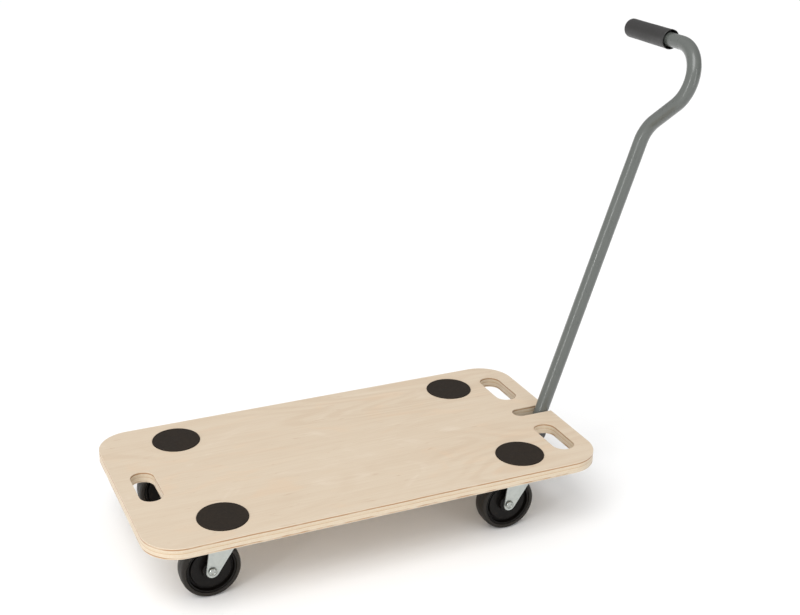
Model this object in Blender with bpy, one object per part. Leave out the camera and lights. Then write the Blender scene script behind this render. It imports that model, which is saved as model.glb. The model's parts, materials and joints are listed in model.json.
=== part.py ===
"""Folding platform cart: a plywood deck on four swivel casters, with a crooked
pull handle that folds flat under the deck.

Metres, +Z up, floor at z = 0, +X towards the handle. The origin is on the floor,
under the middle of the whole cart.
"""

import math

import bmesh
import bpy
from mathutils import Matrix, Vector

# ---- clearances ----
GAP = 0.0003  # between pieces that touch
RUN = 0.0005  # between pieces that turn on each other
OVERSHOOT = 0.004  # how far a cutter runs past the face it cuts

# ---- deck ----
DECK_LENGTH = 0.600
DECK_WIDTH = 0.300
DECK_THICKNESS = 0.0145
DECK_CORNER_RADIUS = 0.045
DECK_EDGE_ROUND = 0.0012
HOLE_WIDTH = 0.030  # hand holes, along X
HOLE_LENGTH = 0.0745  # hand holes, along Y
HOLE_CORNER_RADIUS = 0.0147
HOLE_INSET = 0.035  # from the deck's end to the hole's centre line
FRONT_HOLE_OFFSET = 0.0770  # from the deck's centre line to a front hole's centre

# ---- pads over the casters ----
PAD_RADIUS = 0.0310
PAD_INSET_X = 0.1005  # from the deck's end to the pad's centre
PAD_INSET_Y = 0.0480  # from the deck's side to the pad's centre
PAD_RECESS = 0.0020
PAD_PROUD = 0.0012
PAD_EDGE = 0.0006

# ---- casters ----
CASTER_INSET_X = 0.1005  # from the deck's end to the swivel axis
CASTER_INSET_Y = 0.0510  # from the deck's side to the swivel axis
CASTER_TRAIL = 0.018  # from the swivel axis back to the axle
WHEEL_RADIUS = 0.0375
TYRE_HALF_WIDTH = 0.0112
TYRE_HEIGHT = 0.0065  # radial thickness of the tread ring
RIM_SET_BACK = 0.0012  # of the wheel's rim inside the tread's side
TREAD_SIDE_DROP = 0.0040  # from the tread's crown down to its widest place
TREAD_SHOULDER_DROP = 0.0012  # from the crown down to the shoulder
TREAD_SHOULDER = 0.78  # half width at the shoulder, as a share of the widest
TREAD_FLAT = 0.40  # half width of the flat crown, as a share of the widest
WHEEL_RIM = 0.0040  # radial thickness of the rim under the tread
WHEEL_WEB = 0.0042  # half thickness of the web
HUB_RADIUS = 0.0115
HUB_STAND_OUT = 0.0008  # of the hub past the tread's side
CROWN_CLEARANCE = 0.0040  # from the top of the wheel to the fork's crown
FORK_SHEET = 0.0025
FORK_BEND = 0.0045  # outer radius of the bend from crown to leg
FORK_FOOT_RADIUS = 0.0080  # round end of a leg, about the axle
CROWN_BACK = 0.0200  # from the swivel axis to the crown's trailing edge
CROWN_FRONT = 0.0195  # from the swivel axis to its leading edge
PLATE_SIZE = 0.060
PLATE_THICKNESS = 0.0025
PLATE_CORNER = 0.007
BOSS_DEPTH = 0.0027  # pressed ball race, below the plate
BOSS_TOP_RADIUS = 0.0235
BOSS_FOOT_RADIUS = 0.0190
DISH_RADIUS = 0.0120  # recess on top of the plate for the kingpin's upper head
DISH_FLOOR = 0.0025  # metal left under that recess
KINGPIN_RADIUS = 0.0048
KINGPIN_HEAD_RADIUS = 0.0085
KINGPIN_HEAD_HEIGHT = 0.0026
HEAD_CROWN = 0.6  # flat share of a round head, across and up
AXLE_RADIUS = 0.0030
AXLE_HEAD_RADIUS = 0.0052
AXLE_HEAD_HEIGHT = 0.0022
AXLE_NUT_FLATS = 0.010
AXLE_NUT_HEIGHT = 0.0045
AXLE_STICK_OUT = 0.0015  # thread that shows past the nut

# ---- wood screws ----
SCREW_RADIUS = 0.0019
SCREW_HEAD_RADIUS = 0.0042
SCREW_HEAD_HEIGHT = 0.0022
SCREW_COVER = 0.0021  # wood left between a pilot hole and a pad's recess
SCREW_SLACK = 0.0004  # round the shank, in wood and in steel
PLATE_SCREW_PITCH = 0.044

# ---- handle ----
TUBE_RADIUS = 0.0093
TUBE_WALL = 0.0015
HANDLE_LEAN = math.radians(19.0)  # at rest, from upright towards +X
PIVOT_INSET = 0.0190  # from the deck's end to the hinge axis
PIVOT_DROP = 0.0175  # from the deck's underside to the hinge axis
TUBE_TAIL = 0.0140  # of tube below the hinge axis
CROOK_START = 0.4395  # from the hinge axis to the corner of the lower bend
CROOK_ANGLE = math.radians(45.0)
CROOK_RADIUS = 0.0450  # centre line of both bends
GRIP_REACH = 0.5580  # from the hinge axis to the grip's centre line
GRIP_START = 0.0138  # from the tube's straight axis, along +Y
GRIP_LENGTH = 0.0915
GRIP_WALL = 0.00305
GRIP_END_WALL = 0.0040
GRIP_COLLAR_LENGTH = 0.0040
GRIP_COLLAR_RISE = 0.00085  # of the collar over the sleeve
GRIP_END_ROUND = 0.0030
COLLAR_ROUND = 0.0006
PLUG_FLANGE = 0.0016
PLUG_DEPTH = 0.0070
PLUG_SLACK = 0.0004  # round its stem, inside the tube
PLUG_ROUND = 0.0006

# ---- slot and hinge ----
SLOT_CLEARANCE = 0.0015  # each side of the tube
SLOT_DEPTH = 0.053
HINGE_SHEET = 0.0030
HINGE_HALF_WIDTH = 0.0340
HINGE_BACK = 0.0200  # of flange behind the slot's closed end
HINGE_FRONT_INSET = 0.0030  # from the deck's end to the flange
CHEEK_RADIUS = 0.0120  # round end of a cheek, about the hinge bolt
HINGE_CORNER = 0.006
HINGE_SCREW_INSET = 0.0090  # from the flange's edges
HINGE_BOLT_RADIUS = 0.0030
HINGE_HEAD_FLATS = 0.010
HINGE_HEAD_HEIGHT = 0.0040
HINGE_NUT_HEIGHT = 0.0052
HINGE_STICK_OUT = 0.0015

# ---- facets ----
QUARTER_STEPS = 6
TUBE_SIDES = 12
BEND_STEP = math.radians(15)
WHEEL_SIDES = 24
PIN_SIDES = 12
SCREW_SIDES = 8
PAD_SIDES = 36

# ---- heights and places that follow from the sizes above ----
WHEEL_HALF_WIDTH = TYRE_HALF_WIDTH - RIM_SET_BACK
HUB_HALF_WIDTH = TYRE_HALF_WIDTH + HUB_STAND_OUT
SCREW_DEPTH = DECK_THICKNESS - PAD_RECESS - SCREW_COVER - SCREW_SLACK
GRIP_RADIUS = TUBE_RADIUS + GAP + GRIP_WALL
GRIP_COLLAR_RADIUS = GRIP_RADIUS + GRIP_COLLAR_RISE
CROWN_BOTTOM = 2 * WHEEL_RADIUS + CROWN_CLEARANCE
CROWN_TOP = CROWN_BOTTOM + FORK_SHEET
BOSS_BOTTOM = CROWN_TOP + RUN
PLATE_BOTTOM = BOSS_BOTTOM + BOSS_DEPTH
PLATE_TOP = PLATE_BOTTOM + PLATE_THICKNESS
DECK_BOTTOM = PLATE_TOP + GAP
DECK_TOP = DECK_BOTTOM + DECK_THICKNESS
LEG_INSIDE = HUB_HALF_WIDTH + RUN
LEG_OUTSIDE = LEG_INSIDE + FORK_SHEET
PIVOT_Z = DECK_BOTTOM - PIVOT_DROP
CHEEK_INSIDE = TUBE_RADIUS + RUN
CHEEK_OUTSIDE = CHEEK_INSIDE + HINGE_SHEET
SLOT_HALF_WIDTH = TUBE_RADIUS + SLOT_CLEARANCE
PIVOT_FROM_DECK_CENTRE = DECK_LENGTH / 2 - PIVOT_INSET
GRIP_FRONT = PIVOT_FROM_DECK_CENTRE + GRIP_REACH * math.sin(HANDLE_LEAN) + GRIP_COLLAR_RADIUS
DECK_X = -(GRIP_FRONT - DECK_LENGTH / 2) / 2  # centres the whole cart on x = 0
DECK_FRONT = DECK_X + DECK_LENGTH / 2
PIVOT_X = DECK_X + PIVOT_FROM_DECK_CENTRE

CORNERS = {
    "front_left": (1, 1),
    "front_right": (1, -1),
    "rear_left": (-1, 1),
    "rear_right": (-1, -1),
}


# ---------------------------------------------------------------- tools


def clear_scene():
    for item in list(bpy.data.objects):
        bpy.data.objects.remove(item, do_unlink=True)


def material(name, colour, roughness, metallic=0.0):
    made = bpy.data.materials.new(name)
    made.use_nodes = True
    shader = made.node_tree.nodes["Principled BSDF"]
    shader.inputs["Base Color"].default_value = (*colour, 1.0)
    shader.inputs["Roughness"].default_value = roughness
    shader.inputs["Metallic"].default_value = metallic
    return made


def mesh_of(bm, name):
    """Finish a bmesh: welded, faces outwards, curved faces smooth."""
    bmesh.ops.remove_doubles(bm, verts=bm.verts, dist=0.000001)
    bmesh.ops.recalc_face_normals(bm, faces=bm.faces)
    mesh = bpy.data.meshes.new(name)
    bm.to_mesh(mesh)
    bm.free()
    mesh.shade_smooth()
    mesh.set_sharp_from_angle(angle=math.radians(35))
    return mesh


def add(name, mesh, finish=None, parent=None, place=(0, 0, 0)):
    piece = bpy.data.objects.new(name, mesh)
    bpy.context.scene.collection.objects.link(piece)
    piece.location = place
    piece.parent = parent
    if finish:
        if not mesh.materials:
            mesh.materials.append(finish)
        piece.material_slots[0].link = "OBJECT"
        piece.material_slots[0].material = finish
    return piece


def empty(name, place, parent=None, turn=(0, 0, 0)):
    made = bpy.data.objects.new(name, None)
    bpy.context.scene.collection.objects.link(made)
    made.location = place
    made.rotation_euler = turn
    made.parent = parent
    return made


def boolean(piece, cutter, operation="DIFFERENCE"):
    """Add an exact Boolean; the cutter is hidden and stays out of the model."""
    cutter.hide_render = True
    cutter.display_type = "WIRE"
    step = piece.modifiers.new(cutter.name, "BOOLEAN")
    step.operation = operation
    step.solver = "EXACT"
    step.object = cutter


def baked(mesh, cuts, name):
    """The mesh after Booleans with [(cutter mesh, operation), ...]."""
    body = add(name + "_blank", mesh)
    tools = []
    for number, (cutter_mesh, operation) in enumerate(cuts):
        tools.append(add(f"{name}_tool_{number}", cutter_mesh))
        boolean(body, tools[-1], operation)
    evaluated = body.evaluated_get(bpy.context.evaluated_depsgraph_get())
    result = bpy.data.meshes.new_from_object(evaluated)
    for item in (body, *tools):
        bpy.data.objects.remove(item, do_unlink=True)
    result.name = name
    result.shade_smooth()
    result.set_sharp_from_angle(angle=math.radians(35))
    return result


def arc(centre, radius, start, end, steps):
    """Points on a 2D arc, both ends included; angles in radians."""
    return [
        (
            centre[0] + radius * math.cos(start + (end - start) * i / steps),
            centre[1] + radius * math.sin(start + (end - start) * i / steps),
        )
        for i in range(steps + 1)
    ]


def rounded_rectangle(x0, x1, y0, y1, radius, steps=QUARTER_STEPS):
    quarter = math.pi / 2
    radius = min(radius, (x1 - x0) / 2 - 1e-5, (y1 - y0) / 2 - 1e-5)
    centres = [
        (x1 - radius, y1 - radius),
        (x0 + radius, y1 - radius),
        (x0 + radius, y0 + radius),
        (x1 - radius, y0 + radius),
    ]
    return [
        point
        for turn, centre in enumerate(centres)
        for point in arc(centre, radius, turn * quarter, (turn + 1) * quarter, steps)
    ]


def prism(outline, low, high, axis="Z", bm=None):
    """A closed prism: a 2D outline carried along an axis from low to high.

    The outline is in (x, y) for Z, (x, z) for Y and (y, z) for X.
    """
    bm = bm or bmesh.new()
    place = {
        "X": lambda u, v: (low, u, v),
        "Y": lambda u, v: (u, low, v),
        "Z": lambda u, v: (u, v, low),
    }[axis]
    step = {"X": (1, 0, 0), "Y": (0, 1, 0), "Z": (0, 0, 1)}[axis]
    base = bm.faces.new([bm.verts.new(place(u, v)) for u, v in outline])
    extruded = bmesh.ops.extrude_face_region(bm, geom=[base])
    moved = [item for item in extruded["geom"] if isinstance(item, bmesh.types.BMVert)]
    bmesh.ops.translate(bm, verts=moved, vec=Vector(step) * (high - low))
    return bm


def turned(profile, sides, closed=False, start=0.0, bm=None):
    """Spin a profile of (radius, z) points about the Z axis.

    An open profile starts and ends on the axis; a closed one is a ring.
    """
    bm = bm or bmesh.new()
    verts = [bm.verts.new((r, 0, z)) for r, z in profile]
    pairs = list(zip(verts, verts[1:]))
    if closed:
        pairs.append((verts[-1], verts[0]))
    edges = [bm.edges.new(pair) for pair in pairs]
    bmesh.ops.rotate(bm, verts=verts, cent=(0, 0, 0), matrix=Matrix.Rotation(start, 3, "Z"))
    bmesh.ops.spin(
        bm,
        geom=verts + edges,
        cent=(0, 0, 0),
        axis=(0, 0, 1),
        angle=2 * math.pi,
        steps=sides,
        use_merge=True,
    )
    return bm


def along_y(bm):
    """Turn a bmesh made about Z so that its +Z points along +Y."""
    bmesh.ops.rotate(bm, verts=bm.verts, cent=(0, 0, 0), matrix=Matrix.Rotation(-math.pi / 2, 3, "X"))
    return bm


def moved(bm, offset):
    bmesh.ops.translate(bm, verts=bm.verts, vec=offset)
    return bm


def post(radius, low, high):
    """Profile of a plain round post."""
    return [(0, low), (radius, low), (radius, high), (0, high)]


def hexagon(flats, turn=0.0):
    radius = flats / math.sqrt(3)
    return [
        (radius * math.cos(turn + i * math.pi / 3), radius * math.sin(turn + i * math.pi / 3))
        for i in range(6)
    ]


# ---------------------------------------------------------------- places


def corner_places(inset_x, inset_y):
    """Corner name to the (x, y) that lies this far inside the deck's end and side."""
    x = DECK_LENGTH / 2 - inset_x
    y = DECK_WIDTH / 2 - inset_y
    return {name: (DECK_X + sx * x, sy * y) for name, (sx, sy) in CORNERS.items()}


def caster_places():
    return corner_places(CASTER_INSET_X, CASTER_INSET_Y)


def pad_places():
    return corner_places(PAD_INSET_X, PAD_INSET_Y)


def plate_screw_offsets():
    half = PLATE_SCREW_PITCH / 2
    return [(half, half), (half, -half), (-half, half), (-half, -half)]


def hinge_flange():
    """The hinge flange's x0, x1 and its closed slot end."""
    closed_end = DECK_FRONT - SLOT_DEPTH
    return closed_end - HINGE_BACK, DECK_FRONT - HINGE_FRONT_INSET, closed_end


def hinge_screw_places():
    x0, x1, _ = hinge_flange()
    y = HINGE_HALF_WIDTH - HINGE_SCREW_INSET
    return [
        (x, side * y) for x in (x0 + HINGE_SCREW_INSET, x1 - HINGE_SCREW_INSET) for side in (1, -1)
    ]


# ---------------------------------------------------------------- deck and pads


def hand_hole_centres():
    inset = DECK_LENGTH / 2 - HOLE_INSET
    return [
        (DECK_X - inset, 0.0),
        (DECK_X + inset, FRONT_HOLE_OFFSET),
        (DECK_X + inset, -FRONT_HOLE_OFFSET),
    ]


def slot_outline(half_width, front, closed_end):
    """A slot that is open towards +X, with a half-round closed end."""
    centre = (closed_end + half_width, 0.0)
    bend = arc(centre, half_width, math.pi / 2, 3 * math.pi / 2, 2 * QUARTER_STEPS)
    return [(front, half_width), *bend, (front, -half_width)]


def make_deck(finish):
    half_length, half_width = DECK_LENGTH / 2, DECK_WIDTH / 2
    board = rounded_rectangle(
        DECK_X - half_length,
        DECK_X + half_length,
        -half_width,
        half_width,
        DECK_CORNER_RADIUS,
        QUARTER_STEPS + 2,
    )
    deck = add("deck", mesh_of(prism(board, DECK_BOTTOM, DECK_TOP), "deck"), finish)

    below, above = DECK_BOTTOM - OVERSHOOT, DECK_TOP + OVERSHOOT
    through = bmesh.new()
    for x, y in hand_hole_centres():
        outline = rounded_rectangle(
            x - HOLE_WIDTH / 2,
            x + HOLE_WIDTH / 2,
            y - HOLE_LENGTH / 2,
            y + HOLE_LENGTH / 2,
            HOLE_CORNER_RADIUS,
            QUARTER_STEPS - 1,
        )
        prism(outline, below, above, bm=through)
    slot = slot_outline(SLOT_HALF_WIDTH, DECK_FRONT + OVERSHOOT, DECK_FRONT - SLOT_DEPTH)
    prism(slot, below, above, bm=through)
    boolean(deck, add("deck_openings", mesh_of(through, "deck_openings")))

    edge = deck.modifiers.new("edge_round", "BEVEL")
    edge.width = DECK_EDGE_ROUND
    edge.segments = 1
    edge.limit_method = "ANGLE"
    edge.angle_limit = math.radians(60)

    blind = bmesh.new()
    for x, y in pad_places().values():
        recess = turned(post(PAD_RADIUS + GAP, DECK_TOP - PAD_RECESS, above), PAD_SIDES)
        copy_into(blind, recess, (x, y, 0))
    for x, y in caster_places().values():
        for dx, dy in plate_screw_offsets():
            copy_into(blind, pilot_hole(), (x + dx, y + dy, 0))
    for x, y in hinge_screw_places():
        copy_into(blind, pilot_hole(), (x, y, 0))
    boolean(deck, add("deck_recesses", mesh_of(blind, "deck_recesses")))


def pilot_hole():
    top = DECK_BOTTOM + SCREW_DEPTH + SCREW_SLACK
    return turned(post(SCREW_RADIUS + SCREW_SLACK, DECK_BOTTOM - OVERSHOOT, top), SCREW_SIDES)


def copy_into(target, source, offset):
    """Append one bmesh to another at an offset, and free it."""
    moved(source, offset)
    holder = bpy.data.meshes.new("holder")
    source.to_mesh(holder)
    source.free()
    target.from_mesh(holder)
    bpy.data.meshes.remove(holder)


def make_pads(finish):
    low = DECK_TOP - PAD_RECESS + GAP
    high = DECK_TOP + PAD_PROUD
    profile = [
        (0, low),
        (PAD_RADIUS, low),
        (PAD_RADIUS, high - PAD_EDGE),
        (PAD_RADIUS - PAD_EDGE, high),
        (0, high),
    ]
    mesh = mesh_of(turned(profile, PAD_SIDES), "pad")
    for corner, (x, y) in pad_places().items():
        add(f"{corner}_pad", mesh, finish, place=(x, y, 0))


# ---------------------------------------------------------------- casters


def plate_mesh():
    half = PLATE_SIZE / 2
    plate = mesh_of(
        prism(rounded_rectangle(-half, half, -half, half, PLATE_CORNER, 3), PLATE_BOTTOM, PLATE_TOP),
        "plate",
    )
    boss = [
        (0, BOSS_BOTTOM),
        (BOSS_FOOT_RADIUS, BOSS_BOTTOM),
        (BOSS_TOP_RADIUS, PLATE_BOTTOM),
        (BOSS_TOP_RADIUS, PLATE_BOTTOM + PLATE_THICKNESS / 2),
        (0, PLATE_BOTTOM + PLATE_THICKNESS / 2),
    ]
    dish = post(DISH_RADIUS, BOSS_BOTTOM + DISH_FLOOR, PLATE_TOP + OVERSHOOT)
    bore = post(KINGPIN_RADIUS + GAP, BOSS_BOTTOM - OVERSHOOT, PLATE_TOP)
    screws = bmesh.new()
    for dx, dy in plate_screw_offsets():
        hole = post(SCREW_RADIUS + SCREW_SLACK, PLATE_BOTTOM - OVERSHOOT, PLATE_TOP + OVERSHOOT)
        copy_into(screws, turned(hole, SCREW_SIDES), (dx, dy, 0))
    cuts = [
        (mesh_of(turned(boss, PIN_SIDES + 8), "boss"), "UNION"),
        (mesh_of(turned(dish, PIN_SIDES + 4), "dish"), "DIFFERENCE"),
        (mesh_of(turned(bore, PIN_SIDES), "bore"), "DIFFERENCE"),
        (mesh_of(screws, "screw_holes"), "DIFFERENCE"),
    ]
    return baked(plate, cuts, "caster_plate")


def kingpin_mesh():
    head_top = CROWN_BOTTOM - GAP
    head_bottom = head_top - KINGPIN_HEAD_HEIGHT
    flange = BOSS_BOTTOM + DISH_FLOOR + GAP
    profile = [
        (0, head_bottom),
        (KINGPIN_HEAD_RADIUS * HEAD_CROWN, head_bottom),
        (KINGPIN_HEAD_RADIUS, head_bottom + KINGPIN_HEAD_HEIGHT * HEAD_CROWN),
        (KINGPIN_HEAD_RADIUS, head_top),
        (KINGPIN_RADIUS, head_top),
        (KINGPIN_RADIUS, flange),
        (DISH_RADIUS - 2 * GAP, flange),
        (DISH_RADIUS - 2 * GAP, DECK_BOTTOM - 2 * GAP),
        (0, DECK_BOTTOM - 2 * GAP),
    ]
    return mesh_of(turned(profile, PIN_SIDES), "kingpin")


def fork_outline():
    """Side view of a leg: from the crown's two edges down round the axle."""
    axle = Vector((-CASTER_TRAIL, WHEEL_RADIUS))
    back = Vector((-CROWN_BACK, CROWN_BOTTOM))
    front = Vector((CROWN_FRONT, CROWN_BOTTOM))

    def tangent_angle(point, side):
        reach = point - axle
        return math.atan2(reach.y, reach.x) + side * math.acos(FORK_FOOT_RADIUS / reach.length)

    start = tangent_angle(back, 1)
    end = tangent_angle(front, -1) + 2 * math.pi
    foot = arc(tuple(axle), FORK_FOOT_RADIUS, start, end, 2 * QUARTER_STEPS - 2)
    return [(-CROWN_BACK, CROWN_TOP), tuple(back), *foot, tuple(front), (CROWN_FRONT, CROWN_TOP)]


def fork_section():
    """Front view of the bent sheet: a crown with a leg down each side."""
    foot = WHEEL_RADIUS - FORK_FOOT_RADIUS - OVERSHOOT
    inner = max(FORK_BEND - FORK_SHEET, 0.0005)

    def half(sign):
        outer_centre = (sign * (LEG_OUTSIDE - FORK_BEND), CROWN_TOP - FORK_BEND)
        inner_centre = (sign * (LEG_INSIDE - inner), CROWN_BOTTOM - inner)
        side = 0.0 if sign > 0 else math.pi
        top = math.pi / 2
        outer = arc(outer_centre, FORK_BEND, side, top, 3)
        inside = arc(inner_centre, inner, top, side, 3)
        return outer, inside

    outer_right, inner_right = half(1)
    outer_left, inner_left = half(-1)
    return [
        (LEG_OUTSIDE, foot),
        *outer_right,
        *reversed(outer_left),
        (-LEG_OUTSIDE, foot),
        (-LEG_INSIDE, foot),
        *reversed(inner_left),
        *inner_right,
        (LEG_INSIDE, foot),
    ]


def fork_mesh():
    back = CASTER_TRAIL + FORK_FOOT_RADIUS + OVERSHOOT + CROWN_BACK
    sheet = mesh_of(prism(fork_section(), -back, CROWN_FRONT + OVERSHOOT, "X"), "sheet")
    wide = LEG_OUTSIDE + OVERSHOOT
    side_view = mesh_of(prism(fork_outline(), -wide, wide, "Y"), "side_view")
    kingpin_hole = post(KINGPIN_RADIUS + RUN, CROWN_BOTTOM - OVERSHOOT, CROWN_TOP + OVERSHOOT)
    axle_hole = along_y(turned(post(AXLE_RADIUS + GAP, -wide, wide), PIN_SIDES))
    cuts = [
        (side_view, "INTERSECT"),
        (mesh_of(turned(kingpin_hole, PIN_SIDES), "kingpin_hole"), "DIFFERENCE"),
        (mesh_of(moved(axle_hole, (-CASTER_TRAIL, 0, WHEEL_RADIUS)), "axle_hole"), "DIFFERENCE"),
    ]
    return baked(sheet, cuts, "fork")


def wheel_mesh():
    bore = AXLE_RADIUS + RUN
    rim_outer = WHEEL_RADIUS - TYRE_HEIGHT - GAP
    rim_inner = rim_outer - WHEEL_RIM
    upper = [
        (bore, HUB_HALF_WIDTH),
        (HUB_RADIUS, HUB_HALF_WIDTH),
        (HUB_RADIUS, WHEEL_WEB),
        (rim_inner, WHEEL_WEB),
        (rim_inner, WHEEL_HALF_WIDTH),
        (rim_outer, WHEEL_HALF_WIDTH),
    ]
    lower = [(r, -y) for r, y in reversed(upper)]
    return mesh_of(along_y(turned(upper + lower, WHEEL_SIDES, closed=True)), "wheel")


def tyre_mesh():
    """Crowned ring; one of its flats is lowest, exactly at the wheel radius."""
    outer = WHEEL_RADIUS / math.cos(math.pi / WHEEL_SIDES)
    inner = (WHEEL_RADIUS - TYRE_HEIGHT) / math.cos(math.pi / WHEEL_SIDES)
    upper = [
        (inner, WHEEL_HALF_WIDTH),
        (outer - TREAD_SIDE_DROP, TYRE_HALF_WIDTH),
        (outer - TREAD_SHOULDER_DROP, TREAD_SHOULDER * TYRE_HALF_WIDTH),
        (outer, TREAD_FLAT * TYRE_HALF_WIDTH),
    ]
    lower = [(r, -y) for r, y in reversed(upper)]
    flat_down = math.pi / 2 + math.pi / WHEEL_SIDES
    ring = turned(upper + lower, WHEEL_SIDES, closed=True, start=flat_down)
    return mesh_of(along_y(ring), "tyre")


def axle_mesh():
    """Round-headed bolt across the fork, head on the -Y side."""
    head_face = LEG_OUTSIDE + GAP
    end = LEG_OUTSIDE + 2 * GAP + AXLE_NUT_HEIGHT + AXLE_STICK_OUT
    profile = [
        (0, -head_face - AXLE_HEAD_HEIGHT),
        (AXLE_HEAD_RADIUS * HEAD_CROWN, -head_face - AXLE_HEAD_HEIGHT),
        (AXLE_HEAD_RADIUS, -head_face - AXLE_HEAD_HEIGHT * (1 - HEAD_CROWN)),
        (AXLE_HEAD_RADIUS, -head_face),
        (AXLE_RADIUS, -head_face),
        (AXLE_RADIUS, end),
        (0, end),
    ]
    return mesh_of(along_y(turned(profile, PIN_SIDES)), "axle")


def nut_mesh(flats, height, bore_radius, name):
    """Hexagon nut on the Y axis, from y = 0 to its height."""
    body = mesh_of(prism([(x, z) for x, z in hexagon(flats)], 0, height, "Y"), name)
    bore = along_y(turned(post(bore_radius, -OVERSHOOT, height + OVERSHOOT), PIN_SIDES))
    return baked(body, [(mesh_of(bore, "bore"), "DIFFERENCE")], name)


def screw_mesh():
    """Wood screw driven upwards; z = 0 is the face under its head."""
    tip = SCREW_DEPTH
    profile = [
        (0, -SCREW_HEAD_HEIGHT),
        (SCREW_HEAD_RADIUS * HEAD_CROWN, -SCREW_HEAD_HEIGHT),
        (SCREW_HEAD_RADIUS, -GAP),
        (SCREW_RADIUS, -GAP),
        (SCREW_RADIUS, tip - 2 * SCREW_RADIUS),
        (0, tip),
    ]
    return mesh_of(turned(profile, SCREW_SIDES), "screw")


def make_casters(finish):
    plate, kingpin, fork = plate_mesh(), kingpin_mesh(), fork_mesh()
    wheel, tyre, axle = wheel_mesh(), tyre_mesh(), axle_mesh()
    nut = nut_mesh(AXLE_NUT_FLATS, AXLE_NUT_HEIGHT, AXLE_RADIUS + GAP, "axle_nut")
    screw = screw_mesh()
    for corner, (x, y) in caster_places().items():
        swivel = empty(f"{corner}_swivel", (x, y, 0))
        spin = empty(f"{corner}_spin", (-CASTER_TRAIL, 0, WHEEL_RADIUS), swivel)
        add(f"{corner}_caster_plate", plate, finish["zinc"], place=(x, y, 0))
        add(f"{corner}_kingpin", kingpin, finish["zinc"], place=(x, y, 0))
        for number, (dx, dy) in enumerate(plate_screw_offsets(), 1):
            place = (x + dx, y + dy, PLATE_BOTTOM)
            add(f"{corner}_screw_{number}", screw, finish["screw"], place=place)
        add(f"{corner}_fork", fork, finish["zinc"], swivel)
        add(f"{corner}_axle", axle, finish["bright"], spin)
        nut_place = (0, LEG_OUTSIDE + GAP, 0)
        add(f"{corner}_axle_nut", nut, finish["bright"], spin, nut_place)
        add(f"{corner}_wheel", wheel, finish["wheel"], spin)
        add(f"{corner}_tyre", tyre, finish["tyre"], spin)


# ---------------------------------------------------------------- handle and hinge


def crook():
    """Where the upper bend's centre lies, in the handle's own (y, z)."""
    centre_z = GRIP_REACH - CROOK_RADIUS
    sine, cosine = math.sin(CROOK_ANGLE), math.cos(CROOK_ANGLE)
    leg = (centre_z - CROOK_RADIUS * sine - CROOK_START) / cosine
    return CROOK_RADIUS * cosine - leg * sine, centre_z


def tube_mesh():
    """Bent tube in the handle's own frame: up Z, crook towards -Y, grip along +Y."""
    lower_tangent = CROOK_RADIUS * math.tan(CROOK_ANGLE / 2)
    centre_y, centre_z = crook()
    bm = bmesh.new()
    place = Matrix.Translation((0, 0, -TUBE_TAIL))
    bmesh.ops.create_circle(bm, segments=TUBE_SIDES, radius=TUBE_RADIUS, matrix=place)
    start = list(bm.edges)

    def run(edges, vector):
        """Extrude straight and return the new end loop."""
        made = bmesh.ops.extrude_edge_only(bm, edges=edges)["geom"]
        ends = [item for item in made if isinstance(item, bmesh.types.BMVert)]
        bmesh.ops.translate(bm, verts=ends, vec=vector)
        return [item for item in made if isinstance(item, bmesh.types.BMEdge)]

    def bend(edges, centre, angle):
        """Spin the end loop about an axis along X through centre (y, z)."""
        verts = list({vert for edge in edges for vert in edge.verts})
        last = bmesh.ops.spin(
            bm,
            geom=verts + edges,
            cent=(0, *centre),
            axis=(1, 0, 0),
            angle=angle,
            steps=max(2, round(abs(angle) / BEND_STEP)),
        )["geom_last"]
        return [item for item in last if isinstance(item, bmesh.types.BMEdge)]

    lower_end = CROOK_START - lower_tangent
    ends = run(start, (0, 0, TUBE_TAIL + lower_end))
    ends = bend(ends, (-CROOK_RADIUS, lower_end), CROOK_ANGLE)
    outwards = CROOK_RADIUS * Vector((math.cos(CROOK_ANGLE), math.sin(CROOK_ANGLE)))
    leg_from = Vector((-CROOK_RADIUS, lower_end)) + outwards
    leg_to = Vector((centre_y, centre_z)) - outwards
    ends = run(ends, (0, *(leg_to - leg_from)))
    ends = bend(ends, (centre_y, centre_z), -(math.pi / 2 + CROOK_ANGLE))
    tube_end = GRIP_START + GRIP_LENGTH - GRIP_END_WALL - GAP
    run(ends, (0, tube_end - centre_y, 0))
    bmesh.ops.recalc_face_normals(bm, faces=bm.faces)
    bmesh.ops.solidify(bm, geom=bm.faces, thickness=TUBE_WALL)
    tube = mesh_of(bm, "tube")
    wide = TUBE_RADIUS + OVERSHOOT
    hole = along_y(turned(post(HINGE_BOLT_RADIUS + GAP, -wide, wide), PIN_SIDES))
    return baked(tube, [(mesh_of(hole, "bolt_hole"), "DIFFERENCE")], "handle_tube")


def grip_mesh():
    """Closed-ended sleeve about the Y axis, from y = 0 to its length."""
    bore = TUBE_RADIUS + GAP
    half_round = GRIP_END_ROUND * (1 - math.sqrt(0.5))
    profile = [
        (0, GRIP_LENGTH - GRIP_END_WALL),
        (bore, GRIP_LENGTH - GRIP_END_WALL),
        (bore, 0),
        (GRIP_COLLAR_RADIUS - COLLAR_ROUND, 0),
        (GRIP_COLLAR_RADIUS, COLLAR_ROUND),
        (GRIP_COLLAR_RADIUS, GRIP_COLLAR_LENGTH),
        (GRIP_RADIUS, GRIP_COLLAR_LENGTH + GRIP_COLLAR_RISE),
        (GRIP_RADIUS, GRIP_LENGTH - GRIP_END_ROUND),
        (GRIP_RADIUS - half_round, GRIP_LENGTH - half_round),
        (GRIP_RADIUS - GRIP_END_ROUND, GRIP_LENGTH),
        (0, GRIP_LENGTH),
    ]
    return mesh_of(along_y(turned(profile, TUBE_SIDES + 4)), "grip")


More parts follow.
